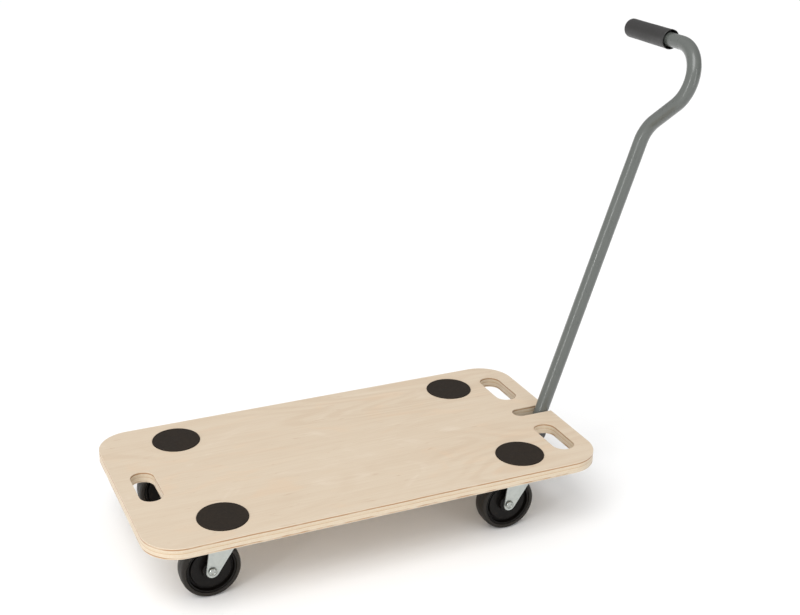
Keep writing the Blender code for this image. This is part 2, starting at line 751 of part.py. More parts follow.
def plug_mesh():
    stem = TUBE_RADIUS - TUBE_WALL - GAP - PLUG_SLACK
    bottom = -TUBE_TAIL - GAP
    profile = [
        (0, bottom - PLUG_FLANGE),
        (TUBE_RADIUS - PLUG_ROUND, bottom - PLUG_FLANGE),
        (TUBE_RADIUS, bottom - PLUG_FLANGE + PLUG_ROUND),
        (TUBE_RADIUS, bottom),
        (stem, bottom),
        (stem, bottom + PLUG_DEPTH),
        (0, bottom + PLUG_DEPTH),
    ]
    return mesh_of(turned(profile, TUBE_SIDES), "plug")


def bracket_mesh():
    """Flange with an open slot and two cheeks that hold the hinge bolt."""
    x0, x1, closed_end = hinge_flange()
    top = DECK_BOTTOM - GAP
    bottom = top - HINGE_SHEET
    board = rounded_rectangle(x0, x1, -HINGE_HALF_WIDTH, HINGE_HALF_WIDTH, HINGE_CORNER, 3)
    flange = mesh_of(prism(board, bottom, top), "flange")
    cheek = [
        (PIVOT_X - CHEEK_RADIUS, top - HINGE_SHEET / 2),
        *arc((PIVOT_X, PIVOT_Z), CHEEK_RADIUS, math.pi, 2 * math.pi, 2 * QUARTER_STEPS - 2),
        (PIVOT_X + CHEEK_RADIUS, top - HINGE_SHEET / 2),
    ]
    cheeks = bmesh.new()
    prism(cheek, CHEEK_INSIDE, CHEEK_OUTSIDE, "Y", cheeks)
    prism(cheek, -CHEEK_OUTSIDE, -CHEEK_INSIDE, "Y", cheeks)
    slot = slot_outline(CHEEK_INSIDE, x1 + OVERSHOOT, closed_end)
    wide = CHEEK_OUTSIDE + OVERSHOOT
    bolt_hole = along_y(turned(post(HINGE_BOLT_RADIUS + GAP, -wide, wide), PIN_SIDES))
    screws = bmesh.new()
    for x, y in hinge_screw_places():
        hole = post(SCREW_RADIUS + SCREW_SLACK, bottom - OVERSHOOT, top + OVERSHOOT)
        copy_into(screws, turned(hole, SCREW_SIDES), (x, y, 0))
    cuts = [
        (mesh_of(cheeks, "cheeks"), "UNION"),
        (mesh_of(prism(slot, bottom - OVERSHOOT, top + OVERSHOOT), "slot"), "DIFFERENCE"),
        (mesh_of(moved(bolt_hole, (PIVOT_X, 0, PIVOT_Z)), "bolt_hole"), "DIFFERENCE"),
        (mesh_of(screws, "screw_holes"), "DIFFERENCE"),
    ]
    return baked(flange, cuts, "hinge_bracket")


def hinge_bolt_mesh():
    """Hexagon-headed bolt along Y through both cheeks, head on the -Y side."""
    face = CHEEK_OUTSIDE + GAP
    end = face + GAP + HINGE_NUT_HEIGHT + HINGE_STICK_OUT
    head = mesh_of(prism(hexagon(HINGE_HEAD_FLATS), -face - HINGE_HEAD_HEIGHT, -face, "Y"), "head")
    shank = along_y(turned(post(HINGE_BOLT_RADIUS, -face - HINGE_HEAD_HEIGHT / 2, end), PIN_SIDES))
    return baked(head, [(mesh_of(shank, "shank"), "UNION")], "hinge_bolt")


def make_handle(finish):
    handle = empty("handle", (PIVOT_X, 0, PIVOT_Z), turn=(0, HANDLE_LEAN, 0))
    add("handle_tube", tube_mesh(), finish["tube"], handle)
    add("handle_grip", grip_mesh(), finish["grip"], handle, (0, GRIP_START, GRIP_REACH))
    add("handle_plug", plug_mesh(), finish["wheel"], handle)


def make_hinge(finish):
    add("hinge_bracket", bracket_mesh(), finish["bracket"])
    add("hinge_bolt", hinge_bolt_mesh(), finish["bracket"], place=(PIVOT_X, 0, PIVOT_Z))
    nut = nut_mesh(HINGE_HEAD_FLATS, HINGE_NUT_HEIGHT, HINGE_BOLT_RADIUS + GAP, "hinge_nut")
    add("hinge_nut", nut, finish["bracket"], place=(PIVOT_X, CHEEK_OUTSIDE + GAP, PIVOT_Z))
    screw = screw_mesh()
    head_face = DECK_BOTTOM - GAP - HINGE_SHEET
    for number, (x, y) in enumerate(hinge_screw_places(), 1):
        add(f"hinge_screw_{number}", screw, finish["screw"], place=(x, y, head_face))


def main():
    clear_scene()
    finish = {
        "birch": material("birch_plywood", (0.70, 0.58, 0.45), 0.55),
        "pad": material("pad_rubber", (0.040, 0.032, 0.026), 0.70),
        "zinc": material("zinc_steel", (0.58, 0.60, 0.58), 0.35, 1.0),
        "bright": material("bright_steel", (0.62, 0.62, 0.60), 0.30, 1.0),
        "screw": material("screw_steel", (0.55, 0.55, 0.52), 0.40, 1.0),
        "wheel": material("black_plastic", (0.018, 0.016, 0.014), 0.45),
        "tyre": material("tread_rubber", (0.022, 0.020, 0.017), 0.60),
        "tube": material("grey_paint", (0.19, 0.20, 0.18), 0.30),
        "grip": material("grip_rubber", (0.060, 0.060, 0.058), 0.60),
        "bracket": material("dark_steel", (0.050, 0.050, 0.052), 0.45, 1.0),
    }
    make_deck(finish["birch"])
    make_pads(finish["pad"])
    make_casters(finish)
    make_handle(finish)
    make_hinge(finish)


main()
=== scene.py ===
"""Looks of a folding platform cart: a plywood board on swivel casters with rubber pads and
a crooked pull handle, in a plain pale studio.

Laid out as an add-on: sizes and colours are properties of the scene, each group of like
pieces has an operator, and main() runs the operators in order. Metres, +Z up.
"""

import json
import math

import bmesh
import bpy
from bpy.props import FloatProperty, FloatVectorProperty, IntProperty, PointerProperty
from bpy.types import Operator, Panel, PropertyGroup
from mathutils import Matrix, Vector


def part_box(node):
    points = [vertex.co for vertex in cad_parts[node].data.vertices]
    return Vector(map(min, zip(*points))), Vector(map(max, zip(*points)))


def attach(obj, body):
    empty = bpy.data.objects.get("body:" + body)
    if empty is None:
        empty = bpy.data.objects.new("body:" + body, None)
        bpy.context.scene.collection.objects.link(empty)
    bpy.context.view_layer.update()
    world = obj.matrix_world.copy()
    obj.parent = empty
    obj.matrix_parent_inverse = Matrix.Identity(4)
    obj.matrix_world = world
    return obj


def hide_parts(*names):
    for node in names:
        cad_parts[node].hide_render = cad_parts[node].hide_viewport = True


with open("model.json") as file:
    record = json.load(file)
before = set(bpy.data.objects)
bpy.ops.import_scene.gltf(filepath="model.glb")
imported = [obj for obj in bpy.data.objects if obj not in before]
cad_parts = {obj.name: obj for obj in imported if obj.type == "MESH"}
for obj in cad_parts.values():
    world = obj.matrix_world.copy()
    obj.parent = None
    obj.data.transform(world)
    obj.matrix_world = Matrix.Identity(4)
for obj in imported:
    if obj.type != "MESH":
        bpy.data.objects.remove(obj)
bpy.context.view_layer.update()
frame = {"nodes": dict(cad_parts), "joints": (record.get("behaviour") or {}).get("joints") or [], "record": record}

bl_info = {
    "name": "Platform Cart Looks",
    "version": (1, 0, 0),
    "blender": (4, 5, 0),
    "location": "3D View > Sidebar > Cart",
    "description": "Models the visible pieces and finishes of a folding platform cart",
    "category": "Object",
}

CORNERS = ("front_left", "front_right", "rear_left", "rear_right")
HAND_HOLES = ("rear_hand_hole", "front_left_hand_hole", "front_right_hand_hole")
WELD = 0.000002  # vertices closer than this are one
OVERSHOOT = 0.004  # how far a cutter runs past the face it cuts
SHARP = math.radians(38)  # steeper edges stay sharp or take a bevel


# ---------------------------------------------------------------- settings


def length(name, description, default):
    return FloatProperty(
        name=name, description=description, default=default, min=0.0, precision=5, unit="LENGTH"
    )


def angle(name, description, default):
    return FloatProperty(
        name=name, description=description, default=math.radians(default), unit="ROTATION"
    )


def share(name, description, default, highest=1.0):
    return FloatProperty(
        name=name, description=description, default=default, min=0.0, max=highest, subtype="FACTOR"
    )


def colour(name, description, default):
    return FloatVectorProperty(
        name=name, description=description, default=default, min=0.0, max=1.0, subtype="COLOR"
    )


class BoardSettings(PropertyGroup):
    """Sizes and colours of the plywood board."""

    corner_radius: length("Corner radius", "Radius of the board's corners seen from above", 0.045)
    edge_round: length("Edge round", "Radius of the rounding along the board's edges", 0.0012)
    hole_length: length("Hole length", "Length of a hand hole, across the board", 0.0745)
    hole_width: length("Hole width", "Width of a hand hole, along the board", 0.030)
    hole_corner: length("Hole corner", "Corner radius of a hand hole", 0.0147)
    slot_depth: length("Slot depth", "How far the handle's slot runs in from the end", 0.053)
    slot_gap: length("Slot gap", "Gap on each side of the tube in its slot", 0.0015)
    recess_gap: length("Recess gap", "Gap round a pad in its recess", 0.0003)
    face: colour("Face", "Pale wood of the face veneer", (0.640, 0.534, 0.408))
    face_shade: colour("Face shade", "Darker grain of the face veneer", (0.540, 0.405, 0.280))
    ply: colour("Ply", "Light plies on a sawn edge", (0.640, 0.550, 0.425))
    end_ply: colour("End ply", "Speckled ply that shows its end grain", (0.560, 0.435, 0.290))
    glue: colour("Glue line", "Brown line between two plies", (0.370, 0.200, 0.092))
    faint_glue: colour("Faint line", "Faint orange line between two plies", (0.500, 0.330, 0.180))


class PadSettings(PropertyGroup):
    """Sizes and colours of the rubber pads."""

    rim_width: length("Rim width", "Width of the raised rim round a pad", 0.0016)
    rim_height: length("Rim height", "Height of the rim over the pad's face", 0.0003)
    rubber: colour("Rubber", "Brown-black rubber", (0.0160, 0.0115, 0.0080))


class CasterSettings(PropertyGroup):
    """Sizes and colours of the swivel casters."""

    sheet: length("Sheet", "Thickness of the fork's steel", 0.0025)
    bend: length("Bend", "Outer radius of the bend from crown to leg", 0.0045)
    crown_back: length("Crown back", "From the swivel axis to the crown's back edge", 0.020)
    rib_width: length("Rib width", "Width of the raised rib round a leg", 0.0015)
    rib_height: length("Rib height", "Height of that rib over the leg's panel", 0.0009)
    wheel_steps: IntProperty(name="Wheel steps", description="Steps round a wheel", default=96)
    zinc: colour("Zinc", "Bright zinc plating", (0.500, 0.525, 0.500))
    plastic: colour("Wheel", "Black plastic of the wheel", (0.0032, 0.0023, 0.0016))
    tread: colour("Tread", "Black rubber of the tread", (0.0118, 0.0096, 0.0072))


class HandleSettings(PropertyGroup):
    """Sizes and colours of the pull handle and its hinge."""

    crook_start: length("Crook start", "From the hinge up to the lower bend's corner", 0.4395)
    crook_radius: length("Crook radius", "Centre-line radius of both bends", 0.045)
    crook_angle: angle("Crook angle", "How far the lower bend turns the tube", 45.0)
    wall: length("Wall", "Wall of the tube", 0.0015)
    tail: length("Tail", "Tube below the hinge", 0.014)
    mouth_lip: length("Mouth lip", "Lip of rubber round the grip's open mouth", 0.0008)
    mouth_depth: length("Mouth depth", "Depth of the hollow behind that lip", 0.0150)
    paint: colour("Paint", "Grey-green powder coat", (0.090, 0.098, 0.090))
    rubber: colour("Grip", "Dark grey rubber of the grip", (0.0175, 0.0165, 0.0160))
    steel: colour("Bracket", "Black coated steel of the hinge plate", (0.030, 0.030, 0.032))


class StudioSettings(PropertyGroup):
    """Camera, lights and floor."""

    place: FloatVectorProperty(
        name="Camera place",
        description="Where the camera stands",
        default=(-0.6658, -1.4002, 0.9282),
        subtype="TRANSLATION",
        unit="LENGTH",
    )
    heading: angle("Heading", "How far the camera turns from +Y towards +X", 22.53)
    tilt: angle("Tilt", "How far the camera looks down", 20.75)
    roll: angle("Roll", "How far the camera leans", 0.09)
    lens: FloatProperty(name="Lens", description="Focal length", default=59.15, unit="CAMERA")
    shift: FloatVectorProperty(
        name="Shift", description="Shift of the lens", size=2, default=(0.0641, -0.0526)
    )
    floor: colour("Floor", "Pale floor", (0.93, 0.93, 0.93))
    sky: share("Sky", "Brightness of the light from the bright side", 0.92, 4.0)
    dim: share("Dim side", "Brightness of the light from the dim side", 0.42, 4.0)
    sun: share("Overhead", "Strength of the broad light from above", 1.35, 9.0)
    strip: FloatProperty(
        name="Strip", description="Power of the upright strip lights", default=13.0, unit="POWER"
    )


# ---------------------------------------------------------------- places from the frame


def joint_place(name):
    """Where a joint's axis passes."""
    return Vector(next(joint["pos_m"] for joint in frame["joints"] if joint["name"] == name))


def opening_centre(name):
    """Middle of one of the record's openings."""
    openings = frame["record"]["physics"]["openings"]
    low, high = next(opening["box_m"] for opening in openings if opening["name"] == name)
    return (Vector(low) + Vector(high)) / 2


def middle_and_size(node):
    low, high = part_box(node)
    return (low + high) / 2, high - low


def caster_frame(corner):
    """Swivel axis, wheel centre and the fork's box of one caster."""
    return (
        joint_place(f"{corner}_swivel"),
        joint_place(f"{corner}_wheel_spin"),
        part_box(f"{corner}_fork"),
    )


# ---------------------------------------------------------------- mesh tools


def verts_of(geometry):
    return [item for item in geometry if isinstance(item, bmesh.types.BMVert)]


def edges_of(geometry):
    return [item for item in geometry if isinstance(item, bmesh.types.BMEdge)]


def moved(bm, offset):
    bmesh.ops.translate(bm, verts=bm.verts, vec=offset)
    return bm


def along_y(bm):
    """Turn a bmesh made about Z so that its +Z points along +Y."""
    turn = Matrix.Rotation(-math.pi / 2, 3, "X")
    bmesh.ops.rotate(bm, verts=bm.verts, cent=(0, 0, 0), matrix=turn)
    return bm


def thickened(bm, vector):
    """Carry the flat outline in bm along a vector into a closed solid."""
    made = bmesh.ops.extrude_face_region(bm, geom=list(bm.faces))["geom"]
    bmesh.ops.translate(bm, verts=verts_of(made), vec=vector)
    bmesh.ops.recalc_face_normals(bm, faces=bm.faces)
    return bm


def rounded_corners(bm, corners, radius, segments):
    bmesh.ops.bevel(
        bm,
        geom=corners,
        offset=radius,
        offset_type="OFFSET",
        segments=segments,
        profile=0.5,
        affect="VERTICES",
        clamp_overlap=True,
        material=-1,
    )


def plate(size, radius, low, high, centre=(0.0, 0.0), segments=12):
    """A level plate with rounded corners."""
    bm = bmesh.new()
    bmesh.ops.create_grid(bm, x_segments=1, y_segments=1, size=0.5)
    bmesh.ops.scale(bm, verts=bm.verts, vec=(size[0], size[1], 1))
    rounded_corners(bm, list(bm.verts), radius, segments)
    thickened(bm, (0, 0, high - low))
    return moved(bm, (centre[0], centre[1], low))


def outline(points):
    """A flat face from its corner points; returns the bmesh and the corners."""
    bm = bmesh.new()
    corners = [bm.verts.new(point) for point in points]
    bm.faces.new(corners)
    return bm, corners


def spun(profile, steps, ring=False):
    """Turn a profile of (radius, height) points about Z; a ring's profile is closed."""
    bm = bmesh.new()
    verts = [bm.verts.new((radius, 0, height)) for radius, height in profile]
    pairs = list(zip(verts, verts[1:]))
    if ring:
        pairs.append((verts[-1], verts[0]))
    edges = [bm.edges.new(pair) for pair in pairs]
    bmesh.ops.spin(
        bm,
        geom=verts + edges,
        cent=(0, 0, 0),
        axis=(0, 0, 1),
        angle=2 * math.pi,
        steps=steps,
        use_merge=True,
    )
    bmesh.ops.remove_doubles(bm, verts=bm.verts, dist=WELD)
    bmesh.ops.recalc_face_normals(bm, faces=bm.faces)
    return bm


def post(radius, low, high, steps=32):
    return spun([(0, low), (radius, low), (radius, high), (0, high)], steps)


def mirrored(half):
    """A ring's profile from the half on one side of its middle plane."""
    return half + [(radius, -height) for radius, height in reversed(half)]


def domed(radius, base, height, steps=4):
    """Profile points of a shallow dome from its rim to its top on the axis."""
    return [
        (radius * math.cos(step / steps * math.pi / 2), base + height * math.sin(step / steps * math.pi / 2))
        for step in range(steps + 1)
    ]


def threaded(root, crest, low, high, pitch):
    """Profile points of a thread, drawn as rings, from low to high."""
    turns = max(1, round((high - low) / pitch))
    pitch = (high - low) / turns
    points = []
    for turn in range(turns):
        points += [(root, low + turn * pitch), (crest, low + (turn + 0.5) * pitch)]
    return points + [(root, high)]


def merged(*parts):
    """One bmesh that holds all the given ones."""
    first = parts[0]
    for other in parts[1:]:
        holder = bpy.data.meshes.new("holder")
        other.to_mesh(holder)
        other.free()
        first.from_mesh(holder)
        bpy.data.meshes.remove(holder)
    return first


def temporary(bm, name):
    mesh = bpy.data.meshes.new(name)
    bm.to_mesh(mesh)
    bm.free()
    made = bpy.data.objects.new(name, mesh)
    bpy.context.scene.collection.objects.link(made)
    return made


def discard(item):
    mesh = item.data
    bpy.data.objects.remove(item, do_unlink=True)
    bpy.data.meshes.remove(mesh)


def with_modifier(bm, kind, **settings):
    """The bmesh after one modifier."""
    holder = temporary(bm, "blank")
    modifier = holder.modifiers.new("step", kind)
    for key, value in settings.items():
        setattr(modifier, key, value)
    evaluated = holder.evaluated_get(bpy.context.evaluated_depsgraph_get())
    mesh = bpy.data.meshes.new_from_object(evaluated)
    result = bmesh.new()
    result.from_mesh(mesh)
    bpy.data.meshes.remove(mesh)
    discard(holder)
    return result


def carved(bm, *tools):
    """The bmesh after exact Booleans with (operation, bmesh) tools."""
    for operation, tool in tools:
        cutter = temporary(tool, "cutter")
        bm = with_modifier(bm, "BOOLEAN", operation=operation, solver="EXACT", object=cutter)
        discard(cutter)
    return bm


def piece(bm, name, coat, body, replaced=(), edge=0.0, segments=2):
    """Finish a bmesh as a piece of the cart that rides on a CAD body."""
    bmesh.ops.remove_doubles(bm, verts=bm.verts, dist=WELD)
    bmesh.ops.recalc_face_normals(bm, faces=bm.faces)
    mesh = bpy.data.meshes.new(name)
    bm.to_mesh(mesh)
    bm.free()
    mesh.shade_smooth()
    mesh.set_sharp_from_angle(angle=SHARP)
    mesh.materials.append(coat)
    made = bpy.data.objects.new(name, mesh)
    bpy.context.scene.collection.objects.link(made)
    if edge:
        bevel = made.modifiers.new("rounded_edges", "BEVEL")
        bevel.width = edge
        bevel.segments = segments
        bevel.limit_method = "ANGLE"
        bevel.angle_limit = SHARP
        normals = made.modifiers.new("even_shading", "WEIGHTED_NORMAL")
        normals.keep_sharp = True
    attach(made, body)
    if replaced:
        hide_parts(*replaced)
    return made


# ---------------------------------------------------------------- material tools


def new_coat(name, base, roughness, **sockets):
    """A material, its node tree and its shader, with constants on the shader's sockets."""
    coat = bpy.data.materials.new(name)
    coat.use_nodes = True
    tree = coat.node_tree
    shader = tree.nodes["Principled BSDF"]
    shader.inputs["Base Color"].default_value = (*base, 1.0)
    shader.inputs["Roughness"].default_value = roughness
    for socket, value in sockets.items():
        shader.inputs[socket.replace("_", " ").title().replace("Ior", "IOR")].default_value = value
    return coat, tree, shader


def node(tree, kind, inputs=(), **settings):
    """Add a node; each input takes a value or another node's output."""
    made = tree.nodes.new("ShaderNode" + kind)
    for key, value in settings.items():
        setattr(made, key, value)
    for key, value in dict(inputs).items():
        if isinstance(value, bpy.types.NodeSocket):
            tree.links.new(value, made.inputs[key])
        else:
            made.inputs[key].default_value = value
    return made


def sum_of(tree, operation, first, second=0.0, clamp=False):
    return node(tree, "Math", {0: first, 1: second}, operation=operation, use_clamp=clamp).outputs[0]


def object_point(tree):
    return node(tree, "TexCoord").outputs["Object"]


def object_way(tree):
    """Direction of a ray that reaches the world."""
    return node(tree, "TexCoord").outputs["Generated"]


def noise(tree, stretch, detail=2.0, roughness=0.5, distortion=0.0):
    """Noise on the piece's own coordinates; stretch is its waves per metre along X, Y, Z."""
    mapping = node(tree, "Mapping", {"Vector": object_point(tree), "Scale": stretch})
    texture = node(
        tree,
        "TexNoise",
        {
            "Vector": mapping.outputs[0],
            "Scale": 1.0,
            "Detail": detail,
            "Roughness": roughness,
            "Distortion": distortion,
        },
    )
    return texture.outputs["Fac"]


def between(tree, value, low, high, out_low=0.0, out_high=1.0):
    """Map a value's range smoothly to another one."""
    return node(
        tree,
        "MapRange",
        {"Value": value, "From Min": low, "From Max": high, "To Min": out_low, "To Max": out_high},
        interpolation_type="SMOOTHSTEP",
    ).outputs[0]


def mixed(tree, factor, first, second, blend="MIX"):
    """Mix two colours, each a triple or another node's output."""
    first, second = (
        item if isinstance(item, bpy.types.NodeSocket) else (*item, 1.0) for item in (first, second)
    )
    return node(
        tree, "Mix", {0: factor, 6: first, 7: second}, data_type="RGBA", blend_type=blend
    ).outputs[2]


def relief(tree, shader, height, distance, strength=1.0):
    """Bump the shader's surface; distance is the height's full travel in metres."""
    bump = node(tree, "Bump", {"Height": height, "Distance": distance, "Strength": strength})
    tree.links.new(bump.outputs[0], shader.inputs["Normal"])


def paint_with(tree, shader, base=None, roughness=None):
    if base is not None:
        tree.links.new(base, shader.inputs["Base Color"])
    if roughness is not None:
        tree.links.new(roughness, shader.inputs["Roughness"])


def shaded(base, amount):
    return tuple(min(1.0, channel * amount) for channel in base)


# ---------------------------------------------------------------- finishes


def face_grain(tree, settings):
    """Face veneer: fine long pores, flowing figure, pale clouds and a few brown flecks."""
    pores = noise(tree, (14, 560, 40), 3.0, 0.6)
    streaks = noise(tree, (3.2, 60, 10), 3.0, 0.55, 0.8)
    swell = noise(tree, (2.1, 8.5, 3), 1.0, 0.4, 0.5)
    figure = sum_of(tree, "PINGPONG", sum_of(tree, "MULTIPLY", swell, 21.0), 0.5)
    where = between(tree, noise(tree, (4, 9, 4), 1.0, 0.5), 0.45, 0.62, 0.04, 0.30)
    clouds = noise(tree, (9, 22, 5), 3.0, 0.55, 1.6)
    flecks = noise(tree, (38, 210, 30), 2.0, 0.5, 0.6)
    wood = mixed(tree, between(tree, streaks, 0.32, 0.75, 0.0, 0.24), settings.face, settings.face_shade)
    lines = sum_of(tree, "MULTIPLY", between(tree, figure, 0.16, 0.42), where)
    wood = mixed(tree, lines, wood, settings.face_shade)
    wood = mixed(tree, between(tree, clouds, 0.54, 0.74, 0.0, 0.20), wood, (0.72, 0.49, 0.31))
    wood = mixed(tree, between(tree, clouds, 0.24, 0.44, 0.34, 0.0), wood, (0.76, 0.67, 0.56))
    wood = mixed(tree, between(tree, pores, 0.40, 0.78, 0.0, 0.30), wood, settings.face_shade)
    wood = mixed(tree, between(tree, flecks, 0.66, 0.80, 0.0, 0.42), wood, (0.42, 0.24, 0.13))
    return wood, pores


def edge_plies(tree, settings, low, high):
    """Sawn edge: face veneers, light plies and a speckled one, with brown lines between."""
    height = node(tree, "SeparateXYZ", {0: object_point(tree)}).outputs["Z"]
    waver = noise(tree, (9, 9, 0), 3.0, 0.6)
    level = node(tree, "MapRange", {"Value": height, "From Min": low, "From Max": high}).outputs[0]
    level = sum_of(tree, "ADD", level, between(tree, waver, 0.0, 1.0, -0.05, 0.05))
    fibres = noise(tree, (230, 230, 1300), 3.0, 0.6)
    pores = noise(tree, (900, 900, 1300), 1.0, 0.5)
    patches = noise(tree, (26, 26, 90), 2.0, 0.6)

    def band(middle, half, soft):
        off = sum_of(tree, "ABSOLUTE", sum_of(tree, "SUBTRACT", level, middle))
        return between(tree, off, half + soft, half, 0.0, 1.0)

    layer = mixed(tree, between(tree, fibres, 0.36, 0.74, 0.0, 0.55), settings.ply, settings.end_ply)
    speckled = sum_of(tree, "MULTIPLY", band(0.60, 0.09, 0.02), between(tree, pores, 0.44, 0.64, 0.25, 0.9))
    layer = mixed(tree, speckled, layer, settings.end_ply)
    lower = sum_of(tree, "MULTIPLY", band(0.30, 0.06, 0.02), between(tree, pores, 0.46, 0.66, 0.1, 0.7))
    layer = mixed(tree, lower, layer, settings.end_ply)
    faint = sum_of(tree, "MULTIPLY", band(0.50, 0.022, 0.026), between(tree, patches, 0.3, 0.6, 0.35, 0.9))
    layer = mixed(tree, faint, layer, settings.faint_glue)
    top = sum_of(tree, "MULTIPLY", band(0.865, 0.042, 0.034), between(tree, patches, 0.25, 0.5, 0.55, 1.0))
    bottom = sum_of(tree, "MULTIPLY", band(0.110, 0.034, 0.034), between(tree, patches, 0.40, 0.6, 0.1, 1.0))
    line = sum_of(tree, "MAXIMUM", top, bottom)
    return mixed(tree, line, layer, settings.glue), line


def plywood_coat(settings, low, high):
    coat, tree, shader = new_coat("birch_plywood", settings.face, 0.5, coat_weight=0.12, coat_roughness=0.4)
    face, pores = face_grain(tree, settings)
    plies, line = edge_plies(tree, settings, low, high)
    upright = node(tree, "SeparateXYZ", {0: node(tree, "TexCoord").outputs["Normal"]}).outputs["Z"]
    level_face = between(tree, sum_of(tree, "ABSOLUTE", upright), 0.55, 0.85)
    wood = mixed(tree, level_face, plies, face)
    rough = between(tree, pores, 0.2, 0.8, 0.42, 0.58)
    paint_with(tree, shader, wood, rough)
    sawn = noise(tree, (1100, 1100, 90), 2.0, 0.6)
    upright_face = sum_of(tree, "SUBTRACT", 1.0, level_face)
    side = sum_of(tree, "MULTIPLY", sum_of(tree, "SUBTRACT", sawn, line), upright_face)
    height = sum_of(tree, "ADD", sum_of(tree, "MULTIPLY", pores, -0.6), side)
    relief(tree, shader, height, 0.00012, 0.6)
    return coat


def rubber_coat(name, base, roughness, dust=0.25, grit=1500.0, specular=0.3):
    """Matt rubber: fine grit, a cloudy bloom and a little dust."""
    coat, tree, shader = new_coat(name, base, roughness, specular_ior_level=specular)
    grit_height = noise(tree, (grit, grit, grit), 2.0, 0.6)
    bloom = noise(tree, (38, 52, 44), 4.0, 0.6, 0.5)
    scuffs = noise(tree, (90, 240, 160), 3.0, 0.7, 1.0)
    specks = noise(tree, (420, 520, 480), 3.0, 0.65)
    tone = mixed(tree, between(tree, bloom, 0.35, 0.75, 0.0, dust * 2), base, shaded(base, 2.1))
    tone = mixed(tree, between(tree, specks, 0.42, 0.70, 0.0, dust * 2), tone, shaded(base, 2.6))
    tone = mixed(tree, between(tree, specks, 0.22, 0.42, dust * 2, 0.0), tone, shaded(base, 0.45))
    tone = mixed(tree, between(tree, scuffs, 0.62, 0.78, 0.0, dust), tone, shaded(base, 2.8))
    paint_with(tree, shader, tone, between(tree, bloom, 0.3, 0.7, roughness - 0.08, roughness + 0.08))
    relief(tree, shader, grit_height, 0.00010, 0.5)
    return coat


def zinc_coat(name, base, roughness=0.36):
    """Zinc plating: a faint spangle, rolled streaks and fine scratches."""
    coat, tree, shader = new_coat(name, base, roughness, metallic=1.0)
    mapping = node(tree, "Mapping", {"Vector": object_point(tree), "Scale": (1.0, 1.0, 1.0)})
    flakes = node(
        tree, "TexVoronoi", {"Vector": mapping.outputs[0], "Scale": 420.0, "Randomness": 1.0}
    ).outputs["Color"]
    flake = node(tree, "SeparateColor", {0: flakes}).outputs[0]
    clouds = noise(tree, (120, 120, 160), 3.0, 0.6, 0.8)
    rolled = noise(tree, (1400, 1400, 90), 2.0, 0.6)
    tone = mixed(tree, between(tree, flake, 0.0, 1.0, 0.0, 0.20), base, shaded(base, 0.72))
    tone = mixed(tree, between(tree, clouds, 0.45, 0.78, 0.0, 0.20), tone, shaded(base, 0.70))
    rough = between(tree, clouds, 0.2, 0.8, roughness - 0.06, roughness + 0.10)
    paint_with(tree, shader, tone, rough)
    relief(tree, shader, sum_of(tree, "ADD", rolled, sum_of(tree, "MULTIPLY", flake, 0.5)), 0.00004, 0.5)
    return coat


def painted_coat(name, base, roughness, metallic=0.0):
    """Powder coat: a fine orange peel, faint clouds and a few rubbed marks."""
    coat, tree, shader = new_coat(
        name, base, roughness, metallic=metallic, coat_weight=0.5, coat_roughness=0.12
    )
    peel = noise(tree, (1300, 1300, 1300), 1.0, 0.5)
    clouds = noise(tree, (60, 60, 26), 3.0, 0.6, 0.4)
    rubs = noise(tree, (420, 420, 60), 3.0, 0.7, 0.8)
    tone = mixed(tree, between(tree, clouds, 0.3, 0.75, 0.0, 0.30), base, shaded(base, 1.18))
    tone = mixed(tree, between(tree, rubs, 0.66, 0.80, 0.0, 0.25), tone, shaded(base, 1.6))
    tone = mixed(tree, between(tree, peel, 0.3, 0.7, 0.0, 0.14), tone, shaded(base, 0.8))
    paint_with(tree, shader, tone, between(tree, clouds, 0.3, 0.7, roughness - 0.05, roughness + 0.06))
    relief(tree, shader, peel, 0.00005, 0.35)
    return coat


def plastic_coat(name, base, roughness):
    """Moulded plastic: a fine satin grain and pale handling marks."""
    coat, tree, shader = new_coat(name, base, roughness, specular_ior_level=0.19)
    satin = noise(tree, (2400, 2400, 2400), 1.0, 0.5)
    marks = noise(tree, (150, 150, 150), 4.0, 0.7, 1.4)
    tone = mixed(tree, between(tree, marks, 0.48, 0.80, 0.0, 0.35), base, shaded(base, 2.2))
    paint_with(tree, shader, tone, between(tree, marks, 0.3, 0.7, roughness - 0.05, roughness + 0.10))
    relief(tree, shader, satin, 0.00004, 0.4)
    return coat


# ---------------------------------------------------------------- board and pads


